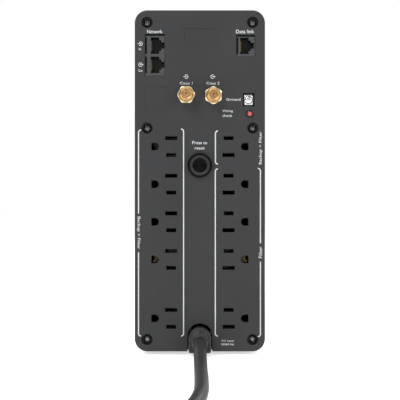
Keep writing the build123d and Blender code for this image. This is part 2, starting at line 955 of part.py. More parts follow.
with BuildPart() as breaker_body:
    with BuildSketch(depth(wall)):
        with Locations(breaker_place):
            Rectangle(breaker_body_size[0], breaker_body_size[2])
    extrude(amount=-breaker_body_size[1])
    with BuildSketch(depth(wall)):
        with Locations(breaker_place):
            Circle(bushing_radius)
    extrude(amount=wall + bushing_standout)
    # dished face round the button
    with BuildSketch(rear.offset(bushing_standout)):
        with Locations(breaker_place):
            Circle(dish_radius)
    with BuildSketch(rear.offset(bushing_standout - dish_depth)):
        with Locations(breaker_place):
            Circle(breaker_button_radius + touch_gap)
    loft(mode=Mode.SUBTRACT)
    with BuildSketch(rear):
        with Locations(breaker_place):
            Circle(breaker_button_radius + touch_gap)
    extrude(amount=-(breaker_button_length + touch_gap), mode=Mode.SUBTRACT)
keep(breaker_body, "breaker_body")

with BuildPart() as breaker_nut:
    with BuildSketch(rear):
        with Locations(breaker_place):
            Circle(breaker_nut_radius)
            Circle(bushing_radius, mode=Mode.SUBTRACT)
    extrude(amount=breaker_nut_height)
    fillet(breaker_nut.edges().group_by(Axis.Y)[0], radius=breaker_nut_edge)
keep(breaker_nut, "breaker_nut")

button_front = bushing_standout - dish_depth + breaker_button_reach
with BuildPart() as breaker_button:
    with BuildSketch(rear.offset(button_front)):
        with Locations(breaker_place):
            Circle(breaker_button_radius)
    extrude(amount=-breaker_button_length)
    fillet(breaker_button.faces().sort_by(Axis.Y)[0].edges(), radius=breaker_button_edge)
    with BuildSketch(rear.offset(button_front)):
        with Locations(breaker_place):
            Circle(breaker_button_radius - breaker_ring_insets[0])
            Circle(breaker_button_radius - breaker_ring_insets[1], mode=Mode.SUBTRACT)
    extrude(amount=-breaker_ring_depth, mode=Mode.SUBTRACT)
keep(breaker_button, "breaker_button")

# ---------------------------------------------------------------- strain relief and power cord

exit_z = foot_height + exit_height
boot_root = rear.offset(relief_standout)
boot_tip_y = rear_y - relief_standout - boot_length
with BuildPart() as strain_relief:
    with BuildSketch(boot_root):
        arch(relief_width, relief_bottom, relief_top)
    extrude(amount=-(relief_standout + relief_inside))
    fillet(strain_relief.faces().sort_by(Axis.Y)[0].edges(), radius=relief_edge)
    # flange behind the panel
    with BuildSketch(depth(wall)):
        with Locations((0, (wall + notch_height + relief_flange[1]) / 2)):
            Rectangle(notch_width + relief_flange[0], notch_height + relief_flange[1] - wall)
    extrude(amount=-relief_flange[2])
    # tapered boot
    with BuildSketch(boot_root):
        with Locations((0, exit_height)):
            Circle(boot_root_radius)
    with BuildSketch(boot_root.offset(boot_length)):
        with Locations((0, exit_height)):
            Circle(boot_tip_radius)
    loft()
    # grooves that let the boot bend
    for step in range(boot_grooves):
        share = (step + 1) / (boot_grooves + 1)
        groove_radius = boot_root_radius + share * (boot_tip_radius - boot_root_radius)
        with BuildSketch(boot_root.offset(share * boot_length)):
            with Locations((0, exit_height)):
                Circle(boot_root_radius + 1)
                Circle(groove_radius - boot_groove_depth, mode=Mode.SUBTRACT)
        extrude(amount=-boot_groove_width, mode=Mode.SUBTRACT)
keep(strain_relief, "strain_relief")


def coil_point(radius, angle, height):
    """A point on the coil, from its radius and its angle in degrees."""
    x = radius * cos(radians(angle))
    y = coil_centre_y + radius * sin(radians(angle))
    return (x, y, height)


coil_height = coil_layers * (cord_diameter + coil_layer_gap / 2)
upper_layer = coil_height - cord_radius
lead_joins = 152.0
tail_leaves = 170.0
lead_route = [
    (0.0, boot_tip_y, exit_z),
    (0.0, boot_tip_y - 17.0, exit_z),
    (0.5, boot_tip_y - 52.0, cord_radius),
    (1.2, boot_tip_y - 105.0, cord_radius),
    (0.9, boot_tip_y - 160.0, cord_radius),
    (-7.0, boot_tip_y - 215.0, cord_radius),
    (-31.0, boot_tip_y - 255.0, cord_radius),
    coil_point(coil_outer_line, lead_joins, cord_radius),
]
tail_route = [
    coil_point(coil_outer_line, tail_leaves, upper_layer),
    (-68.0, coil_centre_y - 22.0, 9.8),
    (-58.5, coil_centre_y - 57.0, 9.4),
    (-34.0, coil_centre_y - 82.0, plug_height / 2),
    (-4.0, coil_centre_y - 89.0, plug_height / 2),
]
print("lead radii", [round(radius, 1) for radius in cord_radii(lead_route)])
print("tail radii", [round(radius, 1) for radius in cord_radii(tail_route)])

lead = tube(lead_route, cord_radius, cord_radii(lead_route))
tail = tube(tail_route, cord_radius, cord_radii(tail_route))
with BuildPart() as power_cord:
    add(lead)
    add(tail)
keep(power_cord, "power_cord")

with BuildPart() as power_cord_coil:
    with BuildSketch(Plane(origin=(0, coil_centre_y, 0))):
        Circle(coil_outer_line + cord_radius)
        Circle(coil_inner_line - cord_radius, mode=Mode.SUBTRACT)
    extrude(amount=coil_height)
    fillet(power_cord_coil.edges().filter_by(GeomType.CIRCLE), radius=cord_radius * 0.7)
keep(power_cord_coil, "power_cord_coil")

tie_plane = Plane(
    origin=(0, coil_centre_y, 0),
    x_dir=(cos(radians(tie_angle)), sin(radians(tie_angle)), 0),
    z_dir=(sin(radians(tie_angle)), -cos(radians(tie_angle)), 0),
)
with BuildPart() as coil_tie:
    with BuildSketch(tie_plane.offset(tie_width / 2)):
        with Locations(((coil_outer_line + coil_inner_line) / 2, (coil_height + tie_thickness) / 2)):
            Rectangle(
                coil_outer_line - coil_inner_line + cord_diameter + 2 * tie_thickness,
                coil_height + tie_thickness,
            )
            Rectangle(
                coil_outer_line - coil_inner_line + cord_diameter,
                coil_height - tie_thickness,
                mode=Mode.SUBTRACT,
            )
    extrude(amount=-tie_width)
keep(coil_tie, "coil_tie")

# The plug lies on its side face, its blades pointing on along the cord
plug_heading = Vector(*tail_route[-1]) - Vector(*tail_route[-2])
plug_direction = Vector(plug_heading.X, plug_heading.Y, 0).normalized()
plug_start = Plane(
    origin=tail_route[-1],
    x_dir=(-plug_direction.Y, plug_direction.X, 0),
    z_dir=plug_direction,
)
with BuildPart() as plug_body:
    with BuildSketch(plug_start):
        Circle(plug_boot_radius)
    with BuildSketch(plug_start.offset(plug_boot_length)):
        Circle(plug_boot_radius + plug_boot_flare)
    loft()
    with BuildSketch(plug_start.offset(plug_boot_length)):
        RectangleRounded(plug_width, plug_height, plug_corner)
    extrude(amount=plug_body_length)
keep(plug_body, "plug_body")

with BuildPart() as plug_blades:
    plug_face = plug_start.offset(plug_boot_length + plug_body_length)
    with BuildSketch(plug_face):
        with Locations((-blade_spacing / 2, -pin_offset / 3), (blade_spacing / 2, -pin_offset / 3)):
            Rectangle(blade_thickness, blade_width)
    extrude(amount=blade_length)
    with BuildSketch(plug_face):
        with Locations((0, pin_offset * 2 / 3 - plug_pin_drop)):
            Circle(pin_radius)
    extrude(amount=pin_length)
keep(plug_blades, "plug_blades")

# ---------------------------------------------------------------- display side

with BuildPart() as front_bezel:
    bezel_width = panel_width + 2 * bezel_overhang
    bezel_height = panel_height + bezel_overhang
    with BuildSketch(front):
        with Locations((0, bezel_height / 2)):
            RectangleRounded(bezel_width, bezel_height, corner_radius + bezel_overhang)
    extrude(amount=-bezel_depth)
    fillet(front_bezel.faces().sort_by(Axis.Y)[-1].edges(), radius=bezel_edge)
    with BuildSketch(inset(bezel_wall)):
        with Locations((0, bezel_height / 2)):
            RectangleRounded(
                bezel_width - 2 * bezel_side_wall,
                bezel_height - 2 * bezel_side_wall,
                corner_radius - wall,
            )
    extrude(amount=bezel_wall - bezel_depth, mode=Mode.SUBTRACT)
    with BuildSketch(front):
        with Locations((0, window_middle)):
            RectangleRounded(
                window_size[0] + 2 * window_gap,
                window_size[1] + 2 * window_gap,
                window_corner,
            )
    extrude(amount=-window_thickness, mode=Mode.SUBTRACT)
    with BuildSketch(front):
        with Locations((0, window_middle)):
            RectangleRounded(
                window_size[0] - 2 * window_ledge,
                window_size[1] - 2 * window_ledge,
                window_ledge_corner,
            )
        with Locations((button_places["power"], button_row)):
            Circle(power_button_radius + button_gap)
        for name in ("mute", "menu"):
            with Locations((button_places[name], button_row)):
                SlotOverall(side_button_size[0] + 2 * button_gap, side_button_size[1] + 2 * button_gap)
    extrude(amount=-bezel_wall, mode=Mode.SUBTRACT)
    with BuildSketch(inset(bezel_wall)):
        with Locations(*post_places):
            Circle(post_radius)
    extrude(amount=bezel_wall - display_board_inset)
    with BuildSketch(inset(display_board_inset)):
        with Locations(*post_places):
            Circle(small_screw_radius)
    extrude(amount=post_hole, mode=Mode.SUBTRACT)
    # ribs across the lower front
    with BuildSketch(front):
        with Locations((0, front_rib_row)):
            with GridLocations(0, front_rib_pitch, 1, front_rib_count):
                SlotOverall(front_rib_size[0], front_rib_size[1])
    extrude(amount=-front_rib_size[2], mode=Mode.SUBTRACT)
keep(front_bezel, "front_bezel")

with BuildPart() as display_window:
    with BuildSketch(front):
        with Locations((0, window_middle)):
            RectangleRounded(*window_size, window_corner)
    extrude(amount=-window_thickness)
keep(display_window, "display_window")

with BuildPart() as lcd_module:
    with BuildSketch(inset(window_thickness + lcd_gap)):
        with Locations((0, lcd_middle)):
            RectangleRounded(*lcd_size, lcd_corner)
    extrude(amount=window_thickness + lcd_gap - display_board_inset)
keep(lcd_module, "lcd_module")

with BuildPart() as display_board:
    with BuildSketch(inset(display_board_inset)):
        with Locations((0, display_board_middle)):
            Rectangle(*display_board_size)
        with Locations(*post_places):
            Circle(small_screw_radius, mode=Mode.SUBTRACT)
    extrude(amount=-board_thickness)
keep(display_board, "display_board")

with BuildPart() as display_screws:
    with BuildSketch(inset(display_board_inset + board_thickness)):
        with Locations(*post_places):
            Circle(small_head_radius)
    extrude(amount=-small_head_height)
    with BuildSketch(inset(display_board_inset + board_thickness)):
        with Locations(*post_places):
            Circle(small_screw_radius)
    extrude(amount=board_thickness + post_screw_reach)
keep(display_screws, "display_screws")

with BuildPart() as tact_switches:
    with BuildSketch(inset(display_board_inset)):
        for place in button_places.values():
            with Locations((place, button_row)):
                Rectangle(switch_size, switch_size)
    extrude(amount=switch_height)
    plunger_reach = display_board_inset - stem_end - button_travel - plunger_gap
    with BuildSketch(inset(display_board_inset)):
        for place in button_places.values():
            with Locations((place, button_row)):
                Circle(plunger_radius)
    extrude(amount=plunger_reach)
keep(tact_switches, "tact_switches")


def front_button(place, grow):
    """Outline of one button, grown by a margin: round for power, a pill for the others."""
    if place == 0:
        with Locations((place, button_row)):
            Circle(power_button_radius + grow)
    else:
        with Locations((place, button_row)):
            SlotOverall(side_button_size[0] + 2 * grow, side_button_size[1] + 2 * grow)


def button(place):
    """A sprung cap with a flange behind the bezel and a stem towards its switch."""
    with BuildPart() as cap:
        with BuildSketch(front.offset(button_standout)):
            front_button(place, 0)
        extrude(amount=-(button_standout + bezel_wall + button_flange_gap))
        fillet(cap.faces().sort_by(Axis.Y)[-1].edges(), radius=button_edge)
        with BuildSketch(inset(bezel_wall + button_flange_gap)):
            front_button(place, button_rim)
        extrude(amount=-button_flange)
        with BuildSketch(inset(bezel_wall)):
            with Locations((place, button_row)):
                Circle(stem_radius)
        extrude(amount=bezel_wall - stem_end)
    return cap


power_button = button(button_places["power"])
keep(power_button, "power_button")
menu_button = button(button_places["menu"])
keep(menu_button, "menu_button")
mute_button = button(button_places["mute"])
keep(mute_button, "mute_button")

# ---------------------------------------------------------------- batteries

lower_battery_z = foot_height + cover_thickness + battery_rest_gap
upper_battery_z = lower_battery_z + battery_size[2] + spacer_thickness
tab_x = battery_size[0] / 2 - terminal_inset[0]
tab_y = battery_middle_y - battery_size[1] / 2 + terminal_inset[1]


def battery(bottom):
    """A sealed lead-acid block with a slightly narrower lid."""
    with BuildPart() as block:
        with Locations((0, battery_middle_y, bottom)):
            Box(*battery_size, align=(Align.CENTER, Align.CENTER, Align.MIN))
        fillet(block.edges().filter_by(Axis.Z), radius=battery_corner)
        with BuildSketch(Plane.XY.offset(bottom + battery_size[2] - battery_lid)):
            with Locations((0, battery_middle_y)):
                Rectangle(battery_size[0], battery_size[1])
                RectangleRounded(
                    battery_size[0] - battery_lid_groove,
                    battery_size[1] - battery_lid_groove,
                    battery_corner,
                    mode=Mode.SUBTRACT,
                )
        extrude(amount=battery_lid_groove, mode=Mode.SUBTRACT)
    return block


battery_lower = battery(lower_battery_z)
keep(battery_lower, "battery_lower")
battery_upper = battery(upper_battery_z)
keep(battery_upper, "battery_upper")

with BuildPart() as battery_spacer:
    with Locations((0, battery_middle_y + spacer_shift, lower_battery_z + battery_size[2])):
        Box(
            battery_size[0] - spacer_margin[0],
            battery_size[1] - spacer_margin[1],
            spacer_thickness,
            align=(Align.CENTER, Align.CENTER, Align.MIN),
        )
keep(battery_spacer, "battery_spacer")

with BuildPart() as battery_terminals:
    for bottom in (lower_battery_z, upper_battery_z):
        for side in (-1, 1):
            with Locations((side * tab_x, tab_y, bottom + battery_size[2])):
                Box(*terminal_tab, align=(Align.CENTER, Align.CENTER, Align.MIN))
keep(battery_terminals, "battery_terminals")

# ---------------------------------------------------------------- transformer

transformer_base = case_floor + mounting_boss_height
transformer_top = transformer_base + transformer_size[2]
strap_y = transformer_size[1] / 2
window_offset = (transformer_limb + transformer_window[0]) / 2 + transformer_limb / 2
transformer_side = Plane(
    origin=(-transformer_size[0] / 2, transformer_middle_y, transformer_base),
    x_dir=(0, 1, 0),
    z_dir=(1, 0, 0),
)
with BuildPart() as transformer_core:
    with BuildSketch(transformer_side):
        with Locations((0, transformer_size[2] / 2)):
            Rectangle(transformer_size[1], transformer_size[2])
            with Locations((-window_offset, 0), (window_offset, 0)):
                Rectangle(*transformer_window, mode=Mode.SUBTRACT)
    extrude(amount=transformer_size[0])
keep(transformer_core, "transformer_core")

winding_half_y = window_offset + transformer_window[0] / 2
limb_half_y = window_offset - transformer_window[0] / 2
winding_low = transformer_base + (transformer_size[2] - transformer_window[1]) / 2
winding_high = winding_low + transformer_window[1]
winding_half_x = transformer_size[0] / 2 + winding_overhang
with BuildPart() as transformer_windings:
    box_between(
        (-winding_half_x, transformer_middle_y - winding_half_y, winding_low),
        (winding_half_x, transformer_middle_y + winding_half_y, winding_high),
    )
    fillet(transformer_windings.edges().filter_by(Axis.Z), radius=winding_corner)
    box_between(
        (-transformer_size[0] / 2, transformer_middle_y - limb_half_y, winding_low),
        (transformer_size[0] / 2, transformer_middle_y + limb_half_y, winding_high),
        mode=Mode.SUBTRACT,
    )
keep(transformer_windings, "transformer_windings")

with BuildPart() as transformer_bracket:
    for end in (-1, 1):
        near = transformer_middle_y + end * strap_y
        far = near + end * strap_thickness
        foot_end = near + end * strap_foot
        box_between(
            (-transformer_size[0] / 2, min(near, far), transformer_base),
            (transformer_size[0] / 2, max(near, far), transformer_top + strap_thickness),
        )
        box_between(
            (-transformer_size[0] / 2, min(near, foot_end), transformer_base),
            (transformer_size[0] / 2, max(near, foot_end), transformer_base + strap_thickness),
        )
    box_between(
        (-transformer_size[0] / 2, transformer_middle_y - strap_y, transformer_top),
        (transformer_size[0] / 2, transformer_middle_y + strap_y, transformer_top + strap_thickness),
    )
    with BuildSketch(Plane.XY.offset(transformer_base)):
        with Locations(*transformer_screw_places):
            Circle(screw_radius)
    extrude(amount=strap_thickness, mode=Mode.SUBTRACT)
keep(transformer_bracket, "transformer_bracket")

with BuildPart() as transformer_screws:
    with BuildSketch(Plane.XY.offset(transformer_base + strap_thickness)):
        with Locations(*transformer_screw_places):
            Circle(screw_head_radius)
    extrude(amount=screw_head_height)
    with BuildSketch(Plane.XY.offset(transformer_base + strap_thickness)):
        with Locations(*transformer_screw_places):
            Circle(screw_radius)
    extrude(amount=-(strap_thickness + mounting_boss_height))
keep(transformer_screws, "transformer_screws")

# ---------------------------------------------------------------- main board

board_face = main_board_x + board_thickness
with BuildPart() as main_board:
    box_between(
        (main_board_x, main_board_y[0], main_board_z[0]),
        (board_face, main_board_y[1], main_board_z[1]),
    )
    with BuildSketch(Plane.YZ.offset(main_board_x)):
        with Locations(*standoff_places):
            Circle(small_screw_radius)
    extrude(amount=board_thickness, mode=Mode.SUBTRACT)
keep(main_board, "main_board")

with BuildPart() as board_screws:
    with BuildSketch(Plane.YZ.offset(board_face)):
        with Locations(*standoff_places):
            Circle(small_head_radius)
    extrude(amount=small_head_height)
    with BuildSketch(Plane.YZ.offset(board_face)):
        with Locations(*standoff_places):
            Circle(small_screw_radius)
    extrude(amount=-(board_thickness + board_screw_reach))
keep(board_screws, "board_screws")

with BuildPart() as heat_sinks:
    for y in sink_ys:
        with Locations((board_face, y, sink_low)):
            Box(sink_size[0], sink_plate, sink_size[2], align=(Align.MIN, Align.MIN, Align.MIN))
        for fin in range(sink_fins):
            fin_x = board_face + fin * (sink_size[0] - sink_fin) / (sink_fins - 1)
            with Locations((fin_x, y + sink_fin, sink_low)):
                Box(
                    sink_fin,
                    sink_size[1] - sink_fin,
                    sink_size[2],
                    align=(Align.MIN, Align.MIN, Align.MIN),
                )
keep(heat_sinks, "heat_sinks")

with BuildPart() as power_transistors:
    for y in sink_ys:
        for step in range(transistor_count):
            transistor_z = sink_low + transistor_offset + transistor_pitch * step
            with Locations((board_face + transistor_offset, y - transistor_size[1], transistor_z)):
                Box(*transistor_size, align=(Align.MIN, Align.MIN, Align.MIN))
keep(power_transistors, "power_transistors")

with BuildPart() as capacitors:
    with BuildSketch(Plane.YZ.offset(board_face)):
        with Locations(*capacitor_places):
            Circle(capacitor_radius)
    extrude(amount=capacitor_height)
    fillet(capacitors.edges().group_by(Axis.X)[-1], radius=capacitor_edge)
keep(capacitors, "capacitors")

with BuildPart() as relays:
    for y in relay_ys:
        with Locations((board_face, y, relay_low)):
            Box(*relay_size, align=(Align.MIN, Align.MIN, Align.MIN))
    fillet(relays.edges().filter_by(Axis.X), radius=relay_edge)
keep(relays, "relays")

choke_middle = (board_face + choke_wire, *choke_place)
with BuildPart() as line_choke:
    with BuildSketch(Plane(origin=Vector(*choke_middle) + Vector(0, choke_ring, 0), z_dir=(0, 0, 1))):
        Circle(choke_wire)
    revolve(axis=Axis(choke_middle, (1, 0, 0)), revolution_arc=360)
keep(line_choke, "line_choke")

with BuildPart() as buzzer:
    with BuildSketch(Plane.YZ.offset(board_face)):
        with Locations(buzzer_place):
            Circle(buzzer_radius)
            Circle(buzzer_hole, mode=Mode.SUBTRACT)
    extrude(amount=buzzer_height)
keep(buzzer, "buzzer")

# ---------------------------------------------------------------- wiring

lead_wire_radius = 2.0
mains_wire_radius = 1.5
upper_tab_top = upper_battery_z + battery_size[2] + terminal_tab[2]
lower_tab_z = lower_battery_z + battery_size[2] + terminal_tab[2] / 2
tab_back = tab_y - terminal_tab[1] / 2
battery_lead_red_part = tube(
    [
        (-tab_x, tab_y, upper_tab_top),
        (-tab_x, tab_y, upper_tab_top + 18),
        (-tab_x, main_board_y[1] - 24, upper_tab_top + 18),
        (board_face, main_board_y[1] - 24, upper_tab_top + 18),
    ],
    lead_wire_radius,
    [7.0, 7.0],
)
battery_lead_black_part = tube(
    [
        (tab_x, tab_back, lower_tab_z),
        (tab_x, main_board_y[1] - 15, lower_tab_z),
        (board_face, main_board_y[1] - 15, lower_tab_z),
    ],
    lead_wire_radius,
    [7.0],
)
battery_link_part = tube(
    [
        (-tab_x, tab_back, lower_tab_z),
        (-tab_x, tab_back - 14, lower_tab_z),
        (0, tab_back - 14, lower_tab_z + 50),
        (tab_x, tab_back - 14, upper_tab_top + 12),
        (tab_x, tab_y, upper_tab_top + 12),
        (tab_x, tab_y, upper_tab_top),
    ],
    lead_wire_radius,
    [5.0, 8.0, 8.0, 5.0],
)
wire_start_y = rear_y + relief_inside
mains_line_part = tube(
    [
        (-4.5, wire_start_y, exit_z),
        (-4.5, rear_y + 24, exit_z),
        (-4.5, rear_y + 24, foot_height + breaker_place[1] - breaker_body_size[2] / 2),
    ],
    mains_wire_radius,
    [6.0],
)
mains_neutral_part = tube(
    [
        (0, wire_start_y, exit_z),
        (0, rear_y + 29, exit_z),
        (0, rear_y + 29, 103),
        (-29, rear_y + 29, 103),
        (-29, main_board_y[0] + 4, 103),
        (board_face, main_board_y[0] + 4, 103),
    ],
    mains_wire_radius,
    [6.0, 6.0, 6.0, 4.0],
)
mains_ground_part = tube(
    [
        (6.0, wire_start_y, exit_z),
        (6.0, rear_y + 22, exit_z),
        (10.0, rear_y + 26, exit_z + 12),
        (10.0, rear_y + 26, foot_height + breaker_place[1] + 25),
        (10.0, rear_y + jack_depth + 0.8, foot_height + breaker_place[1] + 32),
        (10.0, rear_y + jack_depth + 0.8, foot_height + board_low),
    ],
    mains_wire_radius,
    [4.0, 6.0, 6.0, 6.0],
)
with BuildPart() as battery_lead_red:
    add(battery_lead_red_part)
keep(battery_lead_red, "battery_lead_red")
with BuildPart() as battery_lead_black:
    add(battery_lead_black_part)
keep(battery_lead_black, "battery_lead_black")
with BuildPart() as battery_link:
    add(battery_link_part)
keep(battery_link, "battery_link")
with BuildPart() as mains_wires:
    add(mains_line_part)
    add(mains_neutral_part)
    add(mains_ground_part)
keep(mains_wires, "mains_wires")
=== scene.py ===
# %% [markdown]
# # A tower uninterruptible power supply
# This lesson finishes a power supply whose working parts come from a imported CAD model. The CAD
# parts stay exactly where they are. What Blender adds is what the eye looks for on the real
# thing: printed lettering, threads and screw heads, a moulded boot, a coiled mains cord with its
# plug, a lit display, and a finish for every surface.
# Everything is in metres, +Z is up and the outlet side faces -Y.

import math

import bmesh
import bpy
import numpy as np
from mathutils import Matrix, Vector


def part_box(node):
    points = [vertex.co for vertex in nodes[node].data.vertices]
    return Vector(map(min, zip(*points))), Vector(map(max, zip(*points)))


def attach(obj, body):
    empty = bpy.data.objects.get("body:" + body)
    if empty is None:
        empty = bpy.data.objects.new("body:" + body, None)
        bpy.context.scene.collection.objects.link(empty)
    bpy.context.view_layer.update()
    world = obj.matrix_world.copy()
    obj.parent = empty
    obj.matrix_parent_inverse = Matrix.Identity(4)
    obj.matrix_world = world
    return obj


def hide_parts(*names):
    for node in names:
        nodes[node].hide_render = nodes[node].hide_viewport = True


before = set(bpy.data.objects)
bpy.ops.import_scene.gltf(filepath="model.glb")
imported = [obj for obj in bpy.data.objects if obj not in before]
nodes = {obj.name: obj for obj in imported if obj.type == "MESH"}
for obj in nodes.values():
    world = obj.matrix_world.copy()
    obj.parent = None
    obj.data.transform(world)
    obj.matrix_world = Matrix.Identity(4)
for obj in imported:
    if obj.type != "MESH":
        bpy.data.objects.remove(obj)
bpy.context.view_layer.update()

# %% [markdown]
# ## Places to measure from
# A maker works from datum faces. There are two here: the face of the outlet panel, and the face
# of the display side. `on_panel` and `on_front` turn a draughtsman's millimetres (across, up and
# out of the face, as someone facing that side sees them) into points of the model.

# %% Datum faces
MM = 0.001
_, panel_face, panel_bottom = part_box("rear_panel")[0]
front_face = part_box("front_bezel")[1][1]


def on_panel(points):
    """Points (..., 3) in millimetres across, up and out of the outlet panel, as points in metres."""
    across, up, out = np.moveaxis(np.asarray(points, float), -1, 0)
    return np.stack([across * MM, panel_face - out * MM, panel_bottom + up * MM], -1)


def on_front(points):
    """The same for the display side, where left and right change places."""
    across, up, out = np.moveaxis(np.asarray(points, float), -1, 0)
    return np.stack([-across * MM, front_face + out * MM, panel_bottom + up * MM], -1)


def middle_of(node):
    """Centre of a node's box, in metres."""
    return (np.array(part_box(node)[0]) + np.array(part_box(node)[1])) / 2


print("panel face at y", round(panel_face, 4), "front face at y", round(front_face, 4))

# %% [markdown]
# ## Camera
# The camera looks square on at the outlet panel. The lens is worked out from its distance and
# from the width of the view at the panel.

# %% Camera
VIEW_WIDTH = 0.30056
CAMERA_DISTANCE = 0.82
CAMERA_HEIGHT = 113.9
SENSOR = 36.0

camera_data = bpy.data.cameras.new("camera")
camera_data.sensor_width = SENSOR
camera_data.lens = SENSOR * CAMERA_DISTANCE / VIEW_WIDTH
camera_data.clip_start = 0.01
camera = bpy.data.objects.new("camera", camera_data)
camera.location = on_panel((0.1, CAMERA_HEIGHT, CAMERA_DISTANCE / MM))
camera.rotation_euler = (math.radians(90), 0, 0)
bpy.context.scene.collection.objects.link(camera)
bpy.context.scene.camera = camera
bpy.context.scene.view_settings.view_transform = "Standard"
print("lens", round(camera_data.lens, 1), "mm")

# %% [markdown]
# ## Shader groups
# Moulded plastic, plated metal and rubber differ in their numbers, but they share a few surface
# effects. Each effect is one node group with named inputs, placed in a material with that
# material's own values. Four are needed: the spark-eroded grain that a mould leaves, the duller
# patches that hands leave, dust that settles on what faces up, and the fine lines of brushing.

# %% Group builder
def new_group(name, inputs, outputs):
    """A shader node group with number inputs, given as (label, value), and number outputs."""
    tree = bpy.data.node_groups.new(name, "ShaderNodeTree")
    for label, value in inputs:
        socket = tree.interface.new_socket(label, in_out="INPUT", socket_type="NodeSocketFloat")
        socket.default_value = value
    for label in outputs:
        tree.interface.new_socket(label, in_out="OUTPUT", socket_type="NodeSocketFloat")
    return tree, tree.nodes.new("NodeGroupInput"), tree.nodes.new("NodeGroupOutput")


def feed(tree, value, socket):
    """Gives a socket its value: a link from another socket, or a plain value."""
    if isinstance(value, bpy.types.NodeSocket):
        tree.links.new(value, socket)
    else:
        socket.default_value = value


def calculate(tree, operation, first, second, third=None):
    """A Math node whose inputs are sockets or numbers. Returns its output socket."""
    node = tree.nodes.new("ShaderNodeMath")
    node.operation = operation
    for socket, value in zip(node.inputs, (first, second, third)):
        if value is not None:
            feed(tree, value, socket)
    return node.outputs[0]


def object_place(tree):
    """The socket of Object coordinates, which stay with the piece when it moves."""
    return tree.nodes.new("ShaderNodeTexCoord").outputs["Object"]


def noise(tree, scale, detail=2.0, stretch=None):
    """Fractal noise on Object coordinates, stretched by a triple if one is given."""
    place = object_place(tree)
    if stretch is not None:
        mapping = tree.nodes.new("ShaderNodeMapping")
        mapping.inputs["Scale"].default_value = stretch
        tree.links.new(place, mapping.inputs["Vector"])
        place = mapping.outputs["Vector"]
    texture = tree.nodes.new("ShaderNodeTexNoise")
    texture.inputs["Detail"].default_value = detail
    tree.links.new(place, texture.inputs["Vector"])
    feed(tree, scale, texture.inputs["Scale"])
    return texture.outputs["Fac"]


print("group builder ready")

# %% Moulded grain
grain_group, grain_in, grain_out = new_group(
    "moulded_grain", [("Grain Scale", 1500.0), ("Patch Scale", 30.0)], ["Height", "Tone"]
)
fine = noise(grain_group, grain_in.outputs["Grain Scale"], 3.0)
cells = grain_group.nodes.new("ShaderNodeTexVoronoi")
grain_group.links.new(object_place(grain_group), cells.inputs["Vector"])
grain_group.links.new(grain_in.outputs["Grain Scale"], cells.inputs["Scale"])
pitted = calculate(grain_group, "MULTIPLY_ADD", cells.outputs["Distance"], 0.5, fine)
grain_group.links.new(pitted, grain_out.inputs["Height"])
patches = noise(grain_group, grain_in.outputs["Patch Scale"], 4.0)
speckle = calculate(grain_group, "MULTIPLY_ADD", fine, 0.5, patches)
tone = calculate(grain_group, "SUBTRACT", speckle, 0.25)
grain_group.links.new(tone, grain_out.inputs["Tone"])

# %% Handling marks
handling_group, handling_in, handling_out = new_group(
    "handling_marks", [("Clean", 0.5), ("Worn", 0.6), ("Scale", 18.0)], ["Roughness"]
)
smear = noise(handling_group, handling_in.outputs["Scale"], 5.0, (1.0, 1.0, 0.45))
span = calculate(handling_group, "SUBTRACT", handling_in.outputs["Worn"], handling_in.outputs["Clean"])
worn = calculate(handling_group, "MULTIPLY_ADD", smear, span, handling_in.outputs["Clean"])
handling_group.links.new(worn, handling_out.inputs["Roughness"])

# %% Settled dust
dust_group, dust_in, dust_out = new_group("settled_dust", [("Amount", 0.3)], ["Mask"])
facing = dust_group.nodes.new("ShaderNodeNewGeometry")
parts = dust_group.nodes.new("ShaderNodeSeparateXYZ")
dust_group.links.new(facing.outputs["Normal"], parts.inputs["Vector"])
upward = calculate(dust_group, "MAXIMUM", parts.outputs["Z"], 0.0)
settled = calculate(dust_group, "MULTIPLY", upward, noise(dust_group, 240.0, 6.0))
dusted = calculate(dust_group, "MULTIPLY", settled, dust_in.outputs["Amount"])
dust_group.links.new(dusted, dust_out.inputs["Mask"])

# %% Brushed lines
brushed_group, brushed_in, brushed_out = new_group(
    "brushed_lines", [("Line Scale", 900.0)], ["Height", "Tone"]
)
lines = noise(brushed_group, brushed_in.outputs["Line Scale"], 2.0, (1.0, 1.0, 0.04))
brushed_group.links.new(lines, brushed_out.inputs["Height"])
stain = noise(brushed_group, 160.0, 3.0)
shade = calculate(brushed_group, "MULTIPLY_ADD", lines, 0.4, stain)
brushed_group.links.new(calculate(brushed_group, "SUBTRACT", shade, 0.2), brushed_out.inputs["Tone"])
print("groups", [tree.name for tree in bpy.data.node_groups])

# %% [markdown]
# ## Materials
# A material starts from two colours, because no real surface is one: `Tone` from a group moves
# between them. The finish is then set by roughness, by a little relief, and by a few plain
# numbers on the shader itself. Each kind of stuff has a short function, and each finish on the
# object is one call with its own values.

# %% Material builder
def colour_mix(tree, factor, first, second):
    """A colour between two: each is a triple or a colour socket, and the factor is a socket."""
    node = tree.nodes.new("ShaderNodeMix")
    node.data_type = "RGBA"
    tree.links.new(factor, node.inputs[0])
    for socket, value in ((node.inputs[6], first), (node.inputs[7], second)):
        feed(tree, (*value, 1.0) if isinstance(value, tuple) else value, socket)
    return node.outputs[2]


def place_group(tree, group, **values):
    """Puts a shader group in a material, and sets its inputs: under_scores stand for spaces."""
    node = tree.nodes.new("ShaderNodeGroup")
    node.node_tree = group
    for label, value in values.items():
        node.inputs[label.replace("_", " ")].default_value = value
    return node.outputs


def raise_relief(tree, shader, height, distance, strength=1.0):
    """Feeds a height to the shader's normal through a Bump node. The distance is in metres."""
    bump = tree.nodes.new("ShaderNodeBump")
    bump.inputs["Strength"].default_value = strength
    bump.inputs["Distance"].default_value = distance
    tree.links.new(height, bump.inputs["Height"])
    tree.links.new(bump.outputs["Normal"], shader.inputs["Normal"])


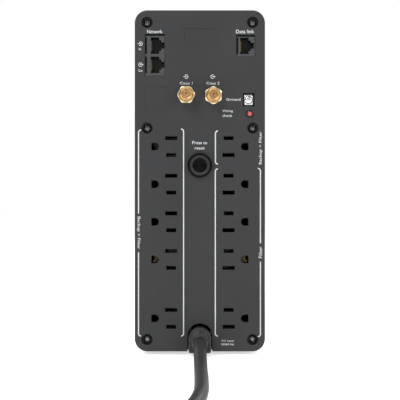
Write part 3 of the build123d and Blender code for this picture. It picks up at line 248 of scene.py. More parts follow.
def start(name, **numbers):
    """A material with its node tree and shader. Numbers go to the shader's own sockets."""
    material = bpy.data.materials.new(name)
    material.use_nodes = True
    shader = material.node_tree.nodes["Principled BSDF"]
    for label, value in numbers.items():
        shader.inputs[label.replace("_", " ")].default_value = value
    return material, material.node_tree, shader


DUST_COLOUR = (0.30, 0.29, 0.27)


def moulded(name, dark, light, rough, grain=1500.0, relief=0.00003, dust=0.12, **numbers):
    """Moulded plastic or rubber: grainy, patchy in tone, duller where it is handled, dusty on top."""
    material, tree, shader = start(name, **numbers)
    surface = place_group(tree, grain_group, Grain_Scale=grain, Patch_Scale=26.0)
    marks = place_group(tree, handling_group, Clean=rough[0], Worn=rough[1])
    film = place_group(tree, dust_group, Amount=dust)
    base = colour_mix(tree, surface["Tone"], dark, light)
    tree.links.new(colour_mix(tree, film["Mask"], base, DUST_COLOUR), shader.inputs["Base Color"])
    tree.links.new(marks["Roughness"], shader.inputs["Roughness"])
    raise_relief(tree, shader, surface["Height"], relief)
    return material


def plated(name, dark, light, rough, line_scale=900.0, relief=0.00001, **numbers):
    """Metal with fine tool lines, a slightly uneven plating and a few duller patches."""
    material, tree, shader = start(name, Metallic=1.0, **numbers)
    surface = place_group(tree, brushed_group, Line_Scale=line_scale)
    marks = place_group(tree, handling_group, Clean=rough[0], Worn=rough[1], Scale=140.0)
    tree.links.new(colour_mix(tree, surface["Tone"], dark, light), shader.inputs["Base Color"])
    tree.links.new(marks["Roughness"], shader.inputs["Roughness"])
    raise_relief(tree, shader, surface["Height"], relief)
    return material


print("material builder ready")

# %% Plastics and rubbers
finishes = {
    "panel": moulded(
        "charcoal_panel", (0.017, 0.0175, 0.0185), (0.027, 0.0275, 0.029), (0.45, 0.62),
        Specular_IOR_Level=0.38,
    ),
    "case": moulded(
        "black_case", (0.014, 0.0147, 0.0155), (0.024, 0.0247, 0.026), (0.42, 0.6), dust=0.2,
        Specular_IOR_Level=0.4,
    ),
    "bezel": moulded(
        "satin_bezel", (0.012, 0.012, 0.013), (0.022, 0.022, 0.024), (0.38, 0.52), 900.0, 0.00001
    ),
    "key": moulded(
        "key_caps", (0.030, 0.031, 0.033), (0.046, 0.047, 0.050), (0.3, 0.45), 1100.0, 0.00001
    ),
    "rubber": moulded(
        "black_rubber", (0.012, 0.012, 0.012), (0.026, 0.026, 0.026), (0.7, 0.9), 700.0, 0.00005
    ),
    "nylon": moulded(
        "black_nylon", (0.005, 0.005, 0.0055), (0.011, 0.011, 0.012), (0.4, 0.55), Specular_IOR_Level=0.3
    ),
    "socket": moulded(
        "socket_nylon", (0.028, 0.029, 0.030), (0.046, 0.047, 0.049), (0.4, 0.55), 1300.0, 0.00001
    ),
    "breaker_black": moulded(
        "breaker_black", (0.0015, 0.0015, 0.0016), (0.004, 0.004, 0.0042), (0.5, 0.65),
        Specular_IOR_Level=0.06,
    ),
    "breaker": moulded(
        "breaker_grey", (0.024, 0.024, 0.025), (0.034, 0.034, 0.036), (0.5, 0.65), 1300.0,
        Specular_IOR_Level=0.3,
    ),
    "cord": moulded(
        "cord_jacket", (0.004, 0.004, 0.0043), (0.009, 0.009, 0.0095), (0.42, 0.56), 800.0, 0.00003,
        Specular_IOR_Level=0.2,
    ),
    "boot": moulded("boot_vinyl", (0.009, 0.009, 0.010), (0.018, 0.018, 0.019), (0.34, 0.5), 900.0),
    "battery": moulded("battery_case", (0.040, 0.041, 0.045), (0.075, 0.076, 0.082), (0.4, 0.6)),
    "epoxy": moulded("black_epoxy", (0.014, 0.014, 0.014), (0.034, 0.034, 0.034), (0.3, 0.5)),
    "relay": moulded("relay_blue", (0.020, 0.07, 0.24), (0.045, 0.12, 0.36), (0.25, 0.4)),
    "red_wire": moulded("red_insulation", (0.32, 0.012, 0.012), (0.50, 0.03, 0.03), (0.3, 0.45)),
    "black_wire": moulded("black_insulation", (0.012, 0.012, 0.012), (0.03, 0.03, 0.03), (0.3, 0.45)),
    "ink": moulded("white_print", (0.46, 0.47, 0.48), (0.66, 0.67, 0.68), (0.5, 0.7), 2600.0, 0.000005),
}
print("plastics", len(finishes))

# %% Metals
finishes.update(
    {
        "gold": plated("gold_plate", (0.86, 0.68, 0.40), (1.0, 0.86, 0.60), (0.22, 0.34)),
        "old_gold": plated("barrel_gold", (0.40, 0.22, 0.09), (0.62, 0.40, 0.18), (0.28, 0.42)),
        "brass": plated("stamped_brass", (0.16, 0.11, 0.05), (0.34, 0.25, 0.11), (0.35, 0.5)),
        "pins": plated("contact_gold", (0.60, 0.44, 0.18), (0.85, 0.66, 0.32), (0.2, 0.35)),
        "nickel": plated("bright_nickel", (0.72, 0.73, 0.74), (0.92, 0.93, 0.94), (0.14, 0.3), 500.0),
        "screw": plated("dark_zinc", (0.16, 0.16, 0.165), (0.42, 0.42, 0.43), (0.22, 0.4), 1400.0),
        "zinc": plated("zinc_plate", (0.42, 0.43, 0.45), (0.66, 0.67, 0.69), (0.28, 0.45), 700.0),
        "aluminium": plated("extruded_aluminium", (0.5, 0.51, 0.53), (0.74, 0.75, 0.77), (0.3, 0.42)),
        "blade": plated("nickel_brass", (0.60, 0.55, 0.40), (0.80, 0.75, 0.58), (0.2, 0.36)),
    }
)
print("finishes", len(finishes))

# %% [markdown]
# ## Deep narrow openings
# Little light finds its way into a socket and out again, so a socket looks black a few
# millimetres in. The sockets and the contacts get a tone that falls with the depth behind the
# panel's face.

# %% Darker with depth
DEEP = (0.002, 0.002, 0.002)


def darker_with_depth(finish, first, last):
    """Mixes a finish's colour to near black between two depths in millimetres."""
    tree = finishes[finish].node_tree
    colour = tree.nodes["Principled BSDF"].inputs["Base Color"]
    base = colour.links[0].from_socket
    parts = tree.nodes.new("ShaderNodeSeparateXYZ")
    fall = tree.nodes.new("ShaderNodeMapRange")
    fall.inputs["From Min"].default_value = panel_face + first * MM
    fall.inputs["From Max"].default_value = panel_face + last * MM
    tree.links.new(object_place(tree), parts.inputs["Vector"])
    tree.links.new(parts.outputs["Y"], fall.inputs["Value"])
    tree.links.new(colour_mix(tree, fall.outputs["Result"], base, DEEP), colour)


darker_with_depth("socket", 1.0, 3.5)
darker_with_depth("pins", 3.0, 9.0)
darker_with_depth("brass", 4.0, 12.0)
print("finishes that fall with depth: socket, pins, brass")

# %% [markdown]
# ## Materials with a pattern of their own
# A few surfaces aren't grain or brushing. The transformer's core is a pile of sheets, so its
# pattern is a fine wave along the pile. The strap is a weave: two waves at right angles. The
# circuit board has tracks, which look like cells with straight sides. The battery spacer is
# foam, so its relief is bubbles.

# %% Striped, woven, printed and foamed
def wave(tree, scale, direction):
    """Bands on Object coordinates along one axis."""
    node = tree.nodes.new("ShaderNodeTexWave")
    node.bands_direction = direction
    node.inputs["Scale"].default_value = scale
    node.inputs["Distortion"].default_value = 0.4
    tree.links.new(object_place(tree), node.inputs["Vector"])
    return node.outputs["Fac"]


def cellular(tree, scale, distance="EUCLIDEAN"):
    """Distance to the nearest of many scattered points, on Object coordinates."""
    node = tree.nodes.new("ShaderNodeTexVoronoi")
    node.distance = distance
    node.inputs["Scale"].default_value = scale
    tree.links.new(object_place(tree), node.inputs["Vector"])
    return node.outputs["Distance"]


def patterned(name, dark, light, pattern, relief, rough=(0.5, 0.7), **numbers):
    """Two colours and a relief that follow one pattern, given as a function of the node tree."""
    material, tree, shader = start(name, **numbers)
    height = pattern(tree)
    marks = place_group(tree, handling_group, Clean=rough[0], Worn=rough[1])
    tree.links.new(colour_mix(tree, height, dark, light), shader.inputs["Base Color"])
    tree.links.new(marks["Roughness"], shader.inputs["Roughness"])
    raise_relief(tree, shader, height, relief)
    return material


def weave(tree):
    """Two waves at right angles, multiplied: threads over and under each other."""
    return calculate(tree, "MULTIPLY", wave(tree, 260.0, "DIAGONAL"), wave(tree, 260.0, "Z"))


finishes.update(
    {
        "laminated": patterned(
            "varnished_sheets", (0.05, 0.045, 0.04), (0.13, 0.12, 0.11),
            lambda tree: wave(tree, 320.0, "X"), 0.00006, (0.3, 0.45),
        ),
        "winding": patterned(
            "taped_windings", (0.40, 0.22, 0.05), (0.66, 0.44, 0.13),
            lambda tree: wave(tree, 180.0, "Z"), 0.0001, (0.3, 0.5),
        ),
        "strap": patterned("woven_strap", (0.012, 0.012, 0.013), (0.05, 0.05, 0.052), weave, 0.0003),
        "board": patterned(
            "green_board", (0.010, 0.10, 0.045), (0.03, 0.20, 0.09),
            lambda tree: cellular(tree, 190.0, "MANHATTAN"), 0.00003, (0.2, 0.35),
        ),
        "foam": patterned(
            "grey_foam", (0.05, 0.05, 0.05), (0.13, 0.13, 0.13),
            lambda tree: cellular(tree, 600.0), 0.0002, (0.8, 0.95),
        ),
    }
)
print("finishes", len(finishes))

# %% [markdown]
# ## Lens, window and display
# The fault light is a cast red lens with a dark rim. Its bright middle is a painted highlight,
# laid into its colour and into a weak glow, so its colour follows the distance from its own
# centre. The window is smoked and polished, and a light film of fingerprints only changes its
# roughness. The display behind it is lit evenly from its edge, a little brighter in the middle.

# %% Lens, window and display
LIGHT_PLACE = middle_of("fault_led")


def spot(tree, centre, radius):
    """1 at a centre, falling to 0 at a radius: a spherical gradient on Object coordinates."""
    mapping = tree.nodes.new("ShaderNodeMapping")
    mapping.inputs["Location"].default_value = [-value / radius for value in centre]
    mapping.inputs["Scale"].default_value = [1 / radius] * 3
    gradient = tree.nodes.new("ShaderNodeTexGradient")
    gradient.gradient_type = "SPHERICAL"
    tree.links.new(object_place(tree), mapping.inputs["Vector"])
    tree.links.new(mapping.outputs["Vector"], gradient.inputs["Vector"])
    return gradient.outputs["Fac"]


lens, tree, shader = start("red_lens", Roughness=0.12, Coat_Weight=0.5, Coat_Roughness=0.05)
lens_front = (LIGHT_PLACE[0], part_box("fault_led")[0][1], LIGHT_PLACE[2])
# Painted highlight: the lens's colour and a weak glow both rise towards the middle of its front.
painted_highlight = spot(tree, lens_front, 0.0015)
tree.links.new(colour_mix(tree, painted_highlight, (0.11, 0.003, 0.004), (0.8, 0.06, 0.06)), shader.inputs["Base Color"])
tree.links.new(colour_mix(tree, painted_highlight, (0.02, 0, 0), (1.0, 0.22, 0.22)), shader.inputs["Emission Color"])
shader.inputs["Emission Strength"].default_value = 0.5

window, tree, shader = start("smoked_window", Transmission_Weight=1.0, IOR=1.45)
marks = place_group(tree, handling_group, Clean=0.02, Worn=0.09, Scale=40.0)
tint = noise(tree, 30.0)
tree.links.new(colour_mix(tree, tint, (0.42, 0.43, 0.46), (0.46, 0.47, 0.5)), shader.inputs["Base Color"])
tree.links.new(marks["Roughness"], shader.inputs["Roughness"])

display, tree, shader = start("lit_display", Roughness=0.3)
backlight = spot(tree, middle_of("lcd_module"), 0.06)
tree.links.new(
    colour_mix(tree, backlight, (0.10, 0.20, 0.34), (0.22, 0.40, 0.60)), shader.inputs["Base Color"]
)
tree.links.new(
    colour_mix(tree, backlight, (0.06, 0.18, 0.42), (0.16, 0.42, 0.80)), shader.inputs["Emission Color"]
)
shader.inputs["Emission Strength"].default_value = 0.9
finishes.update({"lens": lens, "window": window, "display": display})
print("finishes", len(finishes))

# %% [markdown]
# ## Finishes on the CAD parts
# Nothing about the shape of these parts changes here. Each node gets the finish of the stuff
# that it is made of, inside as well as outside, because the object can be opened and posed.

# %% Assign the finishes
node_finishes = {
    "panel": "rear_panel",
    "case": "left_shell right_shell battery_cover",
    "bezel": "front_bezel",
    "key": "power_button menu_button mute_button",
    "rubber": "rubber_feet",
    "nylon": "ground_terminal_cup led_holder tact_switches outlet_inserts_left outlet_inserts_right",
    "socket": "network_jacks data_port",
    "breaker": "breaker_body",
    "cord": "power_cord power_cord_coil",
    "boot": "strain_relief plug_body",
    "strap": "coil_tie",
    "battery": "battery_lower battery_upper",
    "epoxy": "power_transistors capacitors line_choke buzzer breaker_nut breaker_button",
    "relay": "relays",
    "red_wire": "battery_lead_red",
    "black_wire": "battery_lead_black battery_link mains_wires",
    "gold": "coax_nuts",
    "old_gold": "coax_connectors",
    "brass": "neutral_contacts hot_contacts ground_contacts",
    "pins": "jack_contacts",
    "nickel": "ground_clamp_plate ground_screw",
    "screw": "panel_screws",
    "zinc": "display_screws transformer_screws board_screws transformer_bracket battery_terminals",
    "aluminium": "heat_sinks",
    "blade": "plug_blades",
    "laminated": "transformer_core",
    "winding": "transformer_windings",
    "board": "network_board display_board main_board",
    "foam": "battery_spacer",
    "lens": "fault_led",
    "window": "display_window",
    "display": "lcd_module",
}
unfinished = set(nodes)
for finish, names in node_finishes.items():
    for name in names.split():
        mesh = nodes[name].data
        mesh.materials.clear()
        mesh.materials.append(finishes[finish])
        unfinished.discard(name)
print("nodes without a finish:", sorted(unfinished))

# %% [markdown]
# ## Floor and light
# The object stands on a pale floor in a white room, lit by soft boxes. The floor is one big flat
# disc. The room is brighter to the eye than it is as a light, so that the dark plastic keeps its
# contrast: its background has one strength for what is seen and another for what it sheds.

# %% Floor
def link(name, mesh):
    """A new object in the scene that carries a mesh."""
    piece = bpy.data.objects.new(name, mesh)
    bpy.context.scene.collection.objects.link(piece)
    return piece


FLOOR_RADIUS = 9.0
around = np.linspace(0, 2 * math.pi, 96, endpoint=False)
rim = np.stack([FLOOR_RADIUS * np.cos(around), FLOOR_RADIUS * np.sin(around), 0 * around], -1)
floor_mesh = bpy.data.meshes.new("floor")
floor_mesh.from_pydata(rim.tolist(), [], [list(range(len(rim)))])
floor = link("floor", floor_mesh)
floor_paint, tree, shader = start("floor_paint", Roughness=0.85)
pale = noise(tree, 3.0)
tree.links.new(colour_mix(tree, pale, (0.90, 0.90, 0.90), (0.92, 0.92, 0.92)), shader.inputs["Base Color"])
tree.links.new(colour_mix(tree, pale, (0.98, 0.98, 0.98), (1, 1, 1)), shader.inputs["Emission Color"])
shader.inputs["Emission Strength"].default_value = 0.62
floor_mesh.materials.append(floor_paint)

# %% Lights
def soft_box(name, place, aim, size, power):
    """A square area light that points at a place."""
    light = bpy.data.lights.new(name, "AREA")
    light.size = size
    light.energy = power
    lamp = bpy.data.objects.new(name, light)
    lamp.location = place
    lamp.rotation_euler = (Vector(aim) - Vector(place)).to_track_quat("-Z", "Y").to_euler()
    bpy.context.scene.collection.objects.link(lamp)


soft_box("key", (-0.8, -1.3, 1.5), (0, 0, 0.1), 0.9, 20)
soft_box("fill", (1.3, -1.2, 0.8), (0, -0.1, 0.1), 0.8, 10)
soft_box("top", (0.1, 0.1, 1.9), (0, 0, 0), 1.4, 14)
soft_box("back_left", (-1.2, 1.1, 1.1), (0, 0.1, 0.1), 0.8, 12)
soft_box("back_right", (1.0, 1.4, 0.9), (0, 0.1, 0.1), 0.8, 8)

# %% Room
ROOM_SEEN = 1.0
ROOM_LIGHT = 0.42
world = bpy.data.worlds.new("studio")
world.use_nodes = True
background = world.node_tree.nodes["Background"]
background.inputs["Color"].default_value = (1, 1, 1, 1)
eye = world.node_tree.nodes.new("ShaderNodeLightPath")
strength = calculate(
    world.node_tree, "MULTIPLY_ADD", eye.outputs["Is Camera Ray"], ROOM_SEEN - ROOM_LIGHT, ROOM_LIGHT
)
world.node_tree.links.new(strength, background.inputs["Strength"])
bpy.context.scene.world = world
print("lights", len(bpy.data.lights))

# %% [markdown]
# ## Mesh tools
# Every new shape below is a stack of rings: a closed outline with the same number of points at
# each station along a path. The rings are computed as whole arrays and the faces by index
# arithmetic. A shape is a pair, its points and its faces, so that shapes can be gathered into
# one piece before a mesh is made.

# %% Rings to shapes
SLEEVE_GROOVES = 4


def ring_angles(count):
    """Evenly spaced angles of a closed ring."""
    return np.linspace(0, 2 * math.pi, count, endpoint=False)


def grid_faces(rows, columns, looped):
    """Quads between neighbouring rows and columns of a grid of points. Columns close on
    themselves, and rows do too if the grid is looped."""
    row, column = np.meshgrid(np.arange(rows if looped else rows - 1), np.arange(columns), indexing="ij")
    below = (row + 1) % rows
    beside = (column + 1) % columns
    around_face = ((row, column), (row, beside), (below, beside), (below, column))
    return np.stack([r * columns + c for r, c in around_face], -1).reshape(-1, 4).tolist()


def skin(rings, looped=False):
    """A closed shape over rings (rows, columns, 3): capped at both ends, or looped like a tyre."""
    rows, columns = rings.shape[:2]
    faces = grid_faces(rows, columns, looped)
    if not looped:
        faces.append(list(range(columns))[::-1])
        faces.append(list(range((rows - 1) * columns, rows * columns)))
    return rings.reshape(-1, 3), faces


def gather(shapes):
    """Several shapes as one: their points in one list, and their faces renumbered to match."""
    points, faces, first = [], [], 0
    for shape_points, shape_faces in shapes:
        points.append(shape_points)
        faces.extend([[first + corner for corner in face] for face in shape_faces])
        first += len(shape_points)
    return np.concatenate(points), faces


def round_rings(radius, angle, out):
    """Points (radius cos angle, radius sin angle, out) of every ring."""
    across, up = radius * np.cos(angle), radius * np.sin(angle)
    return np.stack([across, up, np.broadcast_to(out, across.shape)], -1)


def turned(profile, count=64):
    """A shape turned about an axis that points out of the face: (radius, out) in millimetres."""
    radius, out = np.array(profile, float).T
    return round_rings(radius[:, None], ring_angles(count), out[:, None])


def grooves(share):
    """Depth of four round grooves along a sleeve, from 0 to 1, with both of its ends plain."""
    wave_round = np.cos(2 * math.pi * (SLEEVE_GROOVES + 0.5) * share)
    return np.clip(1.6 * (-wave_round) - 0.5, 0, 1) * (share > 0.06) * (share < 0.97)


print("shape tools ready")

# %% Shapes to pieces
def make(name, shape, finish, body="case", stands_for=(), crease=35):
    """A piece from a shape in metres: points that meet are merged, faces turned outwards, soft
    shading kept except across edges sharper than the crease, its finish put in its material slot, and its
    body named."""
    points, faces = shape
    mesh = bpy.data.meshes.new(name)
    mesh.from_pydata(points.tolist(), [], faces)
    work = bmesh.new()
    work.from_mesh(mesh)
    bmesh.ops.remove_doubles(work, verts=work.verts, dist=1e-6)
    bmesh.ops.recalc_face_normals(work, faces=work.faces)
    work.to_mesh(mesh)
    work.free()
    mesh.polygons.foreach_set("use_smooth", [True] * len(mesh.polygons))
    mesh.set_sharp_from_angle(angle=math.radians(crease))
    mesh.materials.append(finishes[finish])
    piece = link(name, mesh)
    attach(piece, body)
    if stands_for:
        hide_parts(*stands_for)
    return piece


def at(points, across, up, out=0.0):
    """Points in millimetres, shifted to a spot on a face."""
    return points + np.array([across, up, out])


print("piece maker ready")

# %% [markdown]
# ## The mains cord
# A mains lead is a fixed length of round vinyl. It leaves the moulded boot level with the panel,
# sinks to the table within a hand's width, runs straight out, and its spare length is wound in
# two layers of turns that lie side by side. One NURBS curve of order 3 carries the whole cord:
# the run and the tail are listed points, and the turns are points on a spiral that winds
# inwards in the lower layer and outwards in the upper one.

# %% The cord's route
CORD_DIAMETER = 0.009
COIL_CENTRE = np.array([0.0, -0.538])
COIL_OUTER = 0.0625
COIL_INNER = 0.0439
LOWER_LAYER = 0.0045
UPPER_LAYER = 0.0137
LEAD_JOINS = 152.0
TAIL_LEAVES = 170.0
FULL_TURNS = 4
POINTS_PER_TURN = 20
RAMP_DEGREES = 50.0

lead_route = [
    (0.0, -0.2165, 0.0135),
    (0.0, -0.2335, 0.0135),
    (0.0005, -0.2685, 0.0045),
    (0.0012, -0.3215, 0.0045),
    (0.0009, -0.3765, 0.0045),
    (-0.007, -0.4315, 0.0045),
    (-0.031, -0.4715, 0.0045),
]
tail_route = [
    (-0.068, -0.560, 0.0098),
    (-0.0585, -0.595, 0.0094),
    (-0.034, -0.620, 0.0115),
    (-0.004, -0.627, 0.0115),
]


def coil_route():
    """Points of the turns: the radius falls evenly to the inner turn and rises again, and the
    height steps from the lower to the upper layer along a short smooth ramp in the middle."""
    sweep = 360.0 * FULL_TURNS + TAIL_LEAVES - LEAD_JOINS
    turned_by = np.linspace(0, sweep, int(sweep / 360 * POINTS_PER_TURN) + 1)
    from_middle = turned_by - sweep / 2
    share = np.clip((np.abs(from_middle) - RAMP_DEGREES) / (sweep / 2 - RAMP_DEGREES), 0, 1)
    radius = COIL_INNER + (COIL_OUTER - COIL_INNER) * share
    rise = np.clip(from_middle / RAMP_DEGREES, -1, 1)
    rise = 0.5 + 0.25 * rise * (3 - rise**2)
    height = LOWER_LAYER + (UPPER_LAYER - LOWER_LAYER) * rise
    angle = np.radians(LEAD_JOINS + turned_by)
    x = COIL_CENTRE[0] + radius * np.cos(angle)
    y = COIL_CENTRE[1] + radius * np.sin(angle)
    return np.stack([x, y, height], -1).tolist()


# %% The cord's curve
route = lead_route + coil_route() + tail_route
cord_curve = bpy.data.curves.new("mains_cord", "CURVE")
cord_curve.dimensions = "3D"
cord_curve.bevel_depth = CORD_DIAMETER / 2
cord_curve.bevel_resolution = 5
cord_curve.resolution_u = 6
cord_curve.use_fill_caps = True
spline = cord_curve.splines.new("NURBS")
spline.points.add(len(route) - 1)
for point, place in zip(spline.points, route):
    point.co = (*place, 1)
spline.order_u = 3
spline.use_endpoint_u = True
cord_curve.materials.append(finishes["cord"])
mains_cord = bpy.data.objects.new("mains_cord", cord_curve)
bpy.context.scene.collection.objects.link(mains_cord)
print("cord points", len(route))

# %% [markdown]
# ## Strain relief
# The boot is one moulding: a hooded block that sits in the arch of the panel, a stepped ring in
# front of it, and a tapered sleeve that keeps the cord from kinking. Its outline starts as an
# arch and becomes a circle, so each ring has a share of both outlines.

# %% Outlines of the boot
EXIT_UP = 11.0
RELIEF_HALF_WIDTH = 8.45
RELIEF_BOTTOM = 0.2
RELIEF_SHOULDER = 10.15
RELIEF_BACK = -9.5
BLOCK_OUT = 12.0
BOOT_LENGTH = 24.0
BOOT_ROOT = 7.2
BOOT_TIP = 5.5


def arch_radius(angle, grow):
    """Distance from the cord's line to the arch: a half circle above the shoulder, and below it
    straight sides and a flat foot, blended by a high power so that the corners are round."""
    half = RELIEF_HALF_WIDTH + grow
    rise = (EXIT_UP - RELIEF_SHOULDER) * np.sin(angle)
    lift = EXIT_UP - RELIEF_SHOULDER
    head = -rise + np.sqrt(rise**2 + half**2 - lift**2)
    side = half / np.maximum(np.abs(np.cos(angle)), 1e-6)
    foot = (EXIT_UP - RELIEF_BOTTOM + grow) / np.maximum(-np.sin(angle), 1e-6)
    body = (side**-14.0 + foot**-14.0) ** (-1 / 14.0)
    return np.where(head * np.sin(angle) + lift >= 0, head, body)


def boot_rings(stations, count=96):
    """Rings of the boot from stations (out, grow, circle radius, roundness)."""
    out, grow, circle, roundness = (column[:, None] for column in np.array(stations, float).T)
    angle = ring_angles(count)[None, :]
    radius = (1 - roundness) * arch_radius(angle, grow) + roundness * circle
    return at(round_rings(radius, angle, out), 0.0, EXIT_UP)


# %% Build the boot
GROOVE_DEPTH = 0.9
BLOCK_ROUND = 1.2
TIP_ROUND = 0.6

stations = [(RELIEF_BACK, -0.3, 0, 0), (RELIEF_BACK + 0.4, 0, 0, 0)]
stations += [(8.4, 0, 0, 0), (8.7, -0.45, 0, 0), (9.3, -0.45, 0, 0), (9.6, -0.05, 0, 0)]
for turn in np.radians(np.linspace(0, 90, 7)):
    out = BLOCK_OUT - BLOCK_ROUND + BLOCK_ROUND * math.sin(turn)
    stations.append((out, -BLOCK_ROUND * (1 - math.cos(turn)), 0, 0))
stations += [(BLOCK_OUT, -1.5, 0, 0), (BLOCK_OUT - 0.7, -1.8, 0, 0), (BLOCK_OUT - 0.7, 0, BOOT_ROOT, 1)]
share = np.linspace(0, 1, 97)
sleeve = BOOT_ROOT + (BOOT_TIP - BOOT_ROOT) * share
dip = GROOVE_DEPTH * grooves(share)
sleeve_out = BLOCK_OUT + BOOT_LENGTH * share
stations += [(out, 0, radius, 1) for out, radius in zip(sleeve_out[:-2], (sleeve - dip)[:-2])]
for turn in np.radians(np.linspace(15, 90, 6)):
    out = BLOCK_OUT + BOOT_LENGTH - TIP_ROUND * (1 - math.sin(turn))
    stations.append((out, 0, BOOT_TIP - TIP_ROUND * (1 - math.cos(turn)), 1))
cord_boot = make(
    "cord_boot", skin(on_panel(boot_rings(stations))), "boot",
    stands_for=["strain_relief"], crease=30,
)
print("boot rings", len(stations))

# %% [markdown]
# ## Plug
# The plug is a soft block with waisted sides for the fingers and a ribbed sleeve behind it. Its
# outline is a superellipse whose width, height and squareness change along the plug's axis.

# %% Plug
PLUG_SLEEVE = 18.0
PLUG_BODY = 30.0
PLUG_HALF_WIDTH = 13.0
PLUG_HALF_HEIGHT = 11.5
SLEEVE_RADIUS = 5.6
SLEEVE_WIDENS = 2.4
PLUG_GROOVE_DEPTH = 0.8
plug_start = np.array(tail_route[-1])
plug_axis = plug_start - np.array(tail_route[-2])
plug_axis /= np.linalg.norm(plug_axis)
plug_side = np.array([-plug_axis[1], plug_axis[0], 0.0])


def superellipse(angle, half_width, half_height, power):
    """Closed outline |a/w|^p + |b/h|^p = 1, by angle."""
    cosine, sine = np.cos(angle), np.sin(angle)
    radius = (np.abs(cosine / half_width) ** power + np.abs(sine / half_height) ** power) ** (-1 / power)
    return radius * cosine, radius * sine


def plug_rings(stations, count=72):
    """Rings along the plug from stations (along, half width, half height, power)."""
    along, half_width, half_height, power = (column[:, None] for column in np.array(stations).T)
    side, up = superellipse(ring_angles(count)[None, :], half_width, half_height, power)
    path = plug_start + (along[..., None] * MM) * plug_axis
    return path + side[..., None] * MM * plug_side + up[..., None] * MM * np.array([0, 0, 1.0])


share = np.linspace(0.0, 0.94, 80)
radius = SLEEVE_RADIUS + SLEEVE_WIDENS * share - PLUG_GROOVE_DEPTH * grooves(share)
stations = [(0.0, 5.2, 5.2, 2.0)]
stations += [(PLUG_SLEEVE * s + 0.3, r, r, 2 + s) for s, r in zip(share, radius)]
share = np.linspace(0, 1, 40)
shoulder = np.sin(np.minimum(1.0, share / 0.2) * math.pi / 2)
waist = 1.6 * np.exp(-(((share - 0.55) / 0.16) ** 2))
grip = 0.25 * np.cos(2 * math.pi * 9 * share) * (np.abs(share - 0.55) < 0.22)
for s, wide, narrow, rib in zip(share, shoulder, waist, grip):
    half_width = 8.2 + (PLUG_HALF_WIDTH - 8.2) * wide - narrow + rib * 0.5 - 0.1
    half_height = 8.0 + (PLUG_HALF_HEIGHT - 8.0) * wide
    stations.append((PLUG_SLEEVE + (PLUG_BODY - 1.1) * s, half_width, half_height, 4.5))
for turn in np.radians(np.linspace(20, 90, 5)):
    inset = 1.05 * (1 - math.cos(turn))
    out = PLUG_SLEEVE + PLUG_BODY - 1.1 + 1.1 * math.sin(turn)
    stations.append((out, PLUG_HALF_WIDTH - 0.1 - inset, PLUG_HALF_HEIGHT - inset, 4.5))
plug = make(
    "moulded_plug", skin(plug_rings(stations)), "boot",
    stands_for=["plug_body"], crease=40,
)
print("plug rings", len(stations))

# %% [markdown]
# ## Cord tie
# A hook-and-loop strap goes once round the bundle of turns and closes on itself. It is a band
# carried round a rounded rectangle.

# %% Cord tie
TIE_ANGLE = math.radians(25.0)
TIE_WIDTH = 10.0
STRAP = 0.7
tie_out = np.array([math.cos(TIE_ANGLE), math.sin(TIE_ANGLE), 0])
tie_along = np.array([-tie_out[1], tie_out[0], 0])
bundle_half = (COIL_OUTER - COIL_INNER + CORD_DIAMETER) / 2 / MM
bundle_top = (UPPER_LAYER + CORD_DIAMETER / 2) / MM
tie_middle = np.array([*COIL_CENTRE, 0]) + tie_out * (COIL_OUTER + COIL_INNER) / 2


def strap_rings(angle, inner, outer, width):
    """A flat section (four corners) carried round the bundle at the given angles."""
    corners = []
    for side, grow in ((-1, inner), (1, inner), (1, outer), (-1, outer)):
        across, up = superellipse(angle, bundle_half + grow, bundle_top / 2 + grow, 7)
        up = np.maximum(up + bundle_top / 2, grow * 0.1)
        corners.append(
            tie_middle
            + across[:, None] * MM * tie_out
            + up[:, None] * MM * np.array([0, 0, 1.0])
            + tie_along * (side * width / 2 * MM)
        )
    return np.stack(corners, 1)


loop = strap_rings(ring_angles(144), 0.02, STRAP, TIE_WIDTH)
cord_tie = make(
    "cord_tie", skin(loop, looped=True), "strap", stands_for=["coil_tie"], crease=50
)
print("strap loop", loop.shape)

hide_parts("power_cord", "power_cord_coil")
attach(mains_cord, "case")

# %% [markdown]
# ## Threads
# A screw thread is a turned shape whose radius also depends on the angle: the ridge moves one
# pitch along for each turn. The same function serves the coaxial barrels and every screw.

# %% Thread
def threaded(radius, depth, pitch, low, high, rows_per_pitch=7, count=48):
    """Rings of a thread between two heights: the radius falls by a triangle wave of the height in
    pitches less the angle in turns, and the wave fades out over the first and last half pitch."""
    out = np.linspace(low, high, int((high - low) / pitch * rows_per_pitch) + 1)[:, None]
    angle = ring_angles(count)[None, :]
    phase = (out / pitch - angle / (2 * math.pi)) % 1.0
    valley = 1 - np.abs(2 * phase - 1)
    fade = np.clip(np.minimum(out - low, high - out) / (pitch / 2), 0, 1)
    return round_rings(radius - depth * valley * fade, angle, out)


print("one turn has", threaded(4.76, 0.4, 0.794, 0, 0.794).shape, "points")

# %% [markdown]
# ## Coaxial connectors
# Each F connector is a gold barrel with a 3/8-32 thread, held in the panel by a thin hexagonal
# nut. Its end shows a turned rim, a pale ring of insulation that is flush with it, and the small
# hole that takes the cable's core. The nut's corners are cut by a cone, as on any turned nut.

# %% Coaxial connectors
COAX_PLACES = ((-10.3, 193.0), (10.2, 192.5))
COAX_RADIUS = 4.76
COAX_PITCH = 25.4 / 32
COAX_REACH = 10.5
COAX_BACK = -15.0
THREAD_FROM = 2.9
THREAD_TO = 9.7

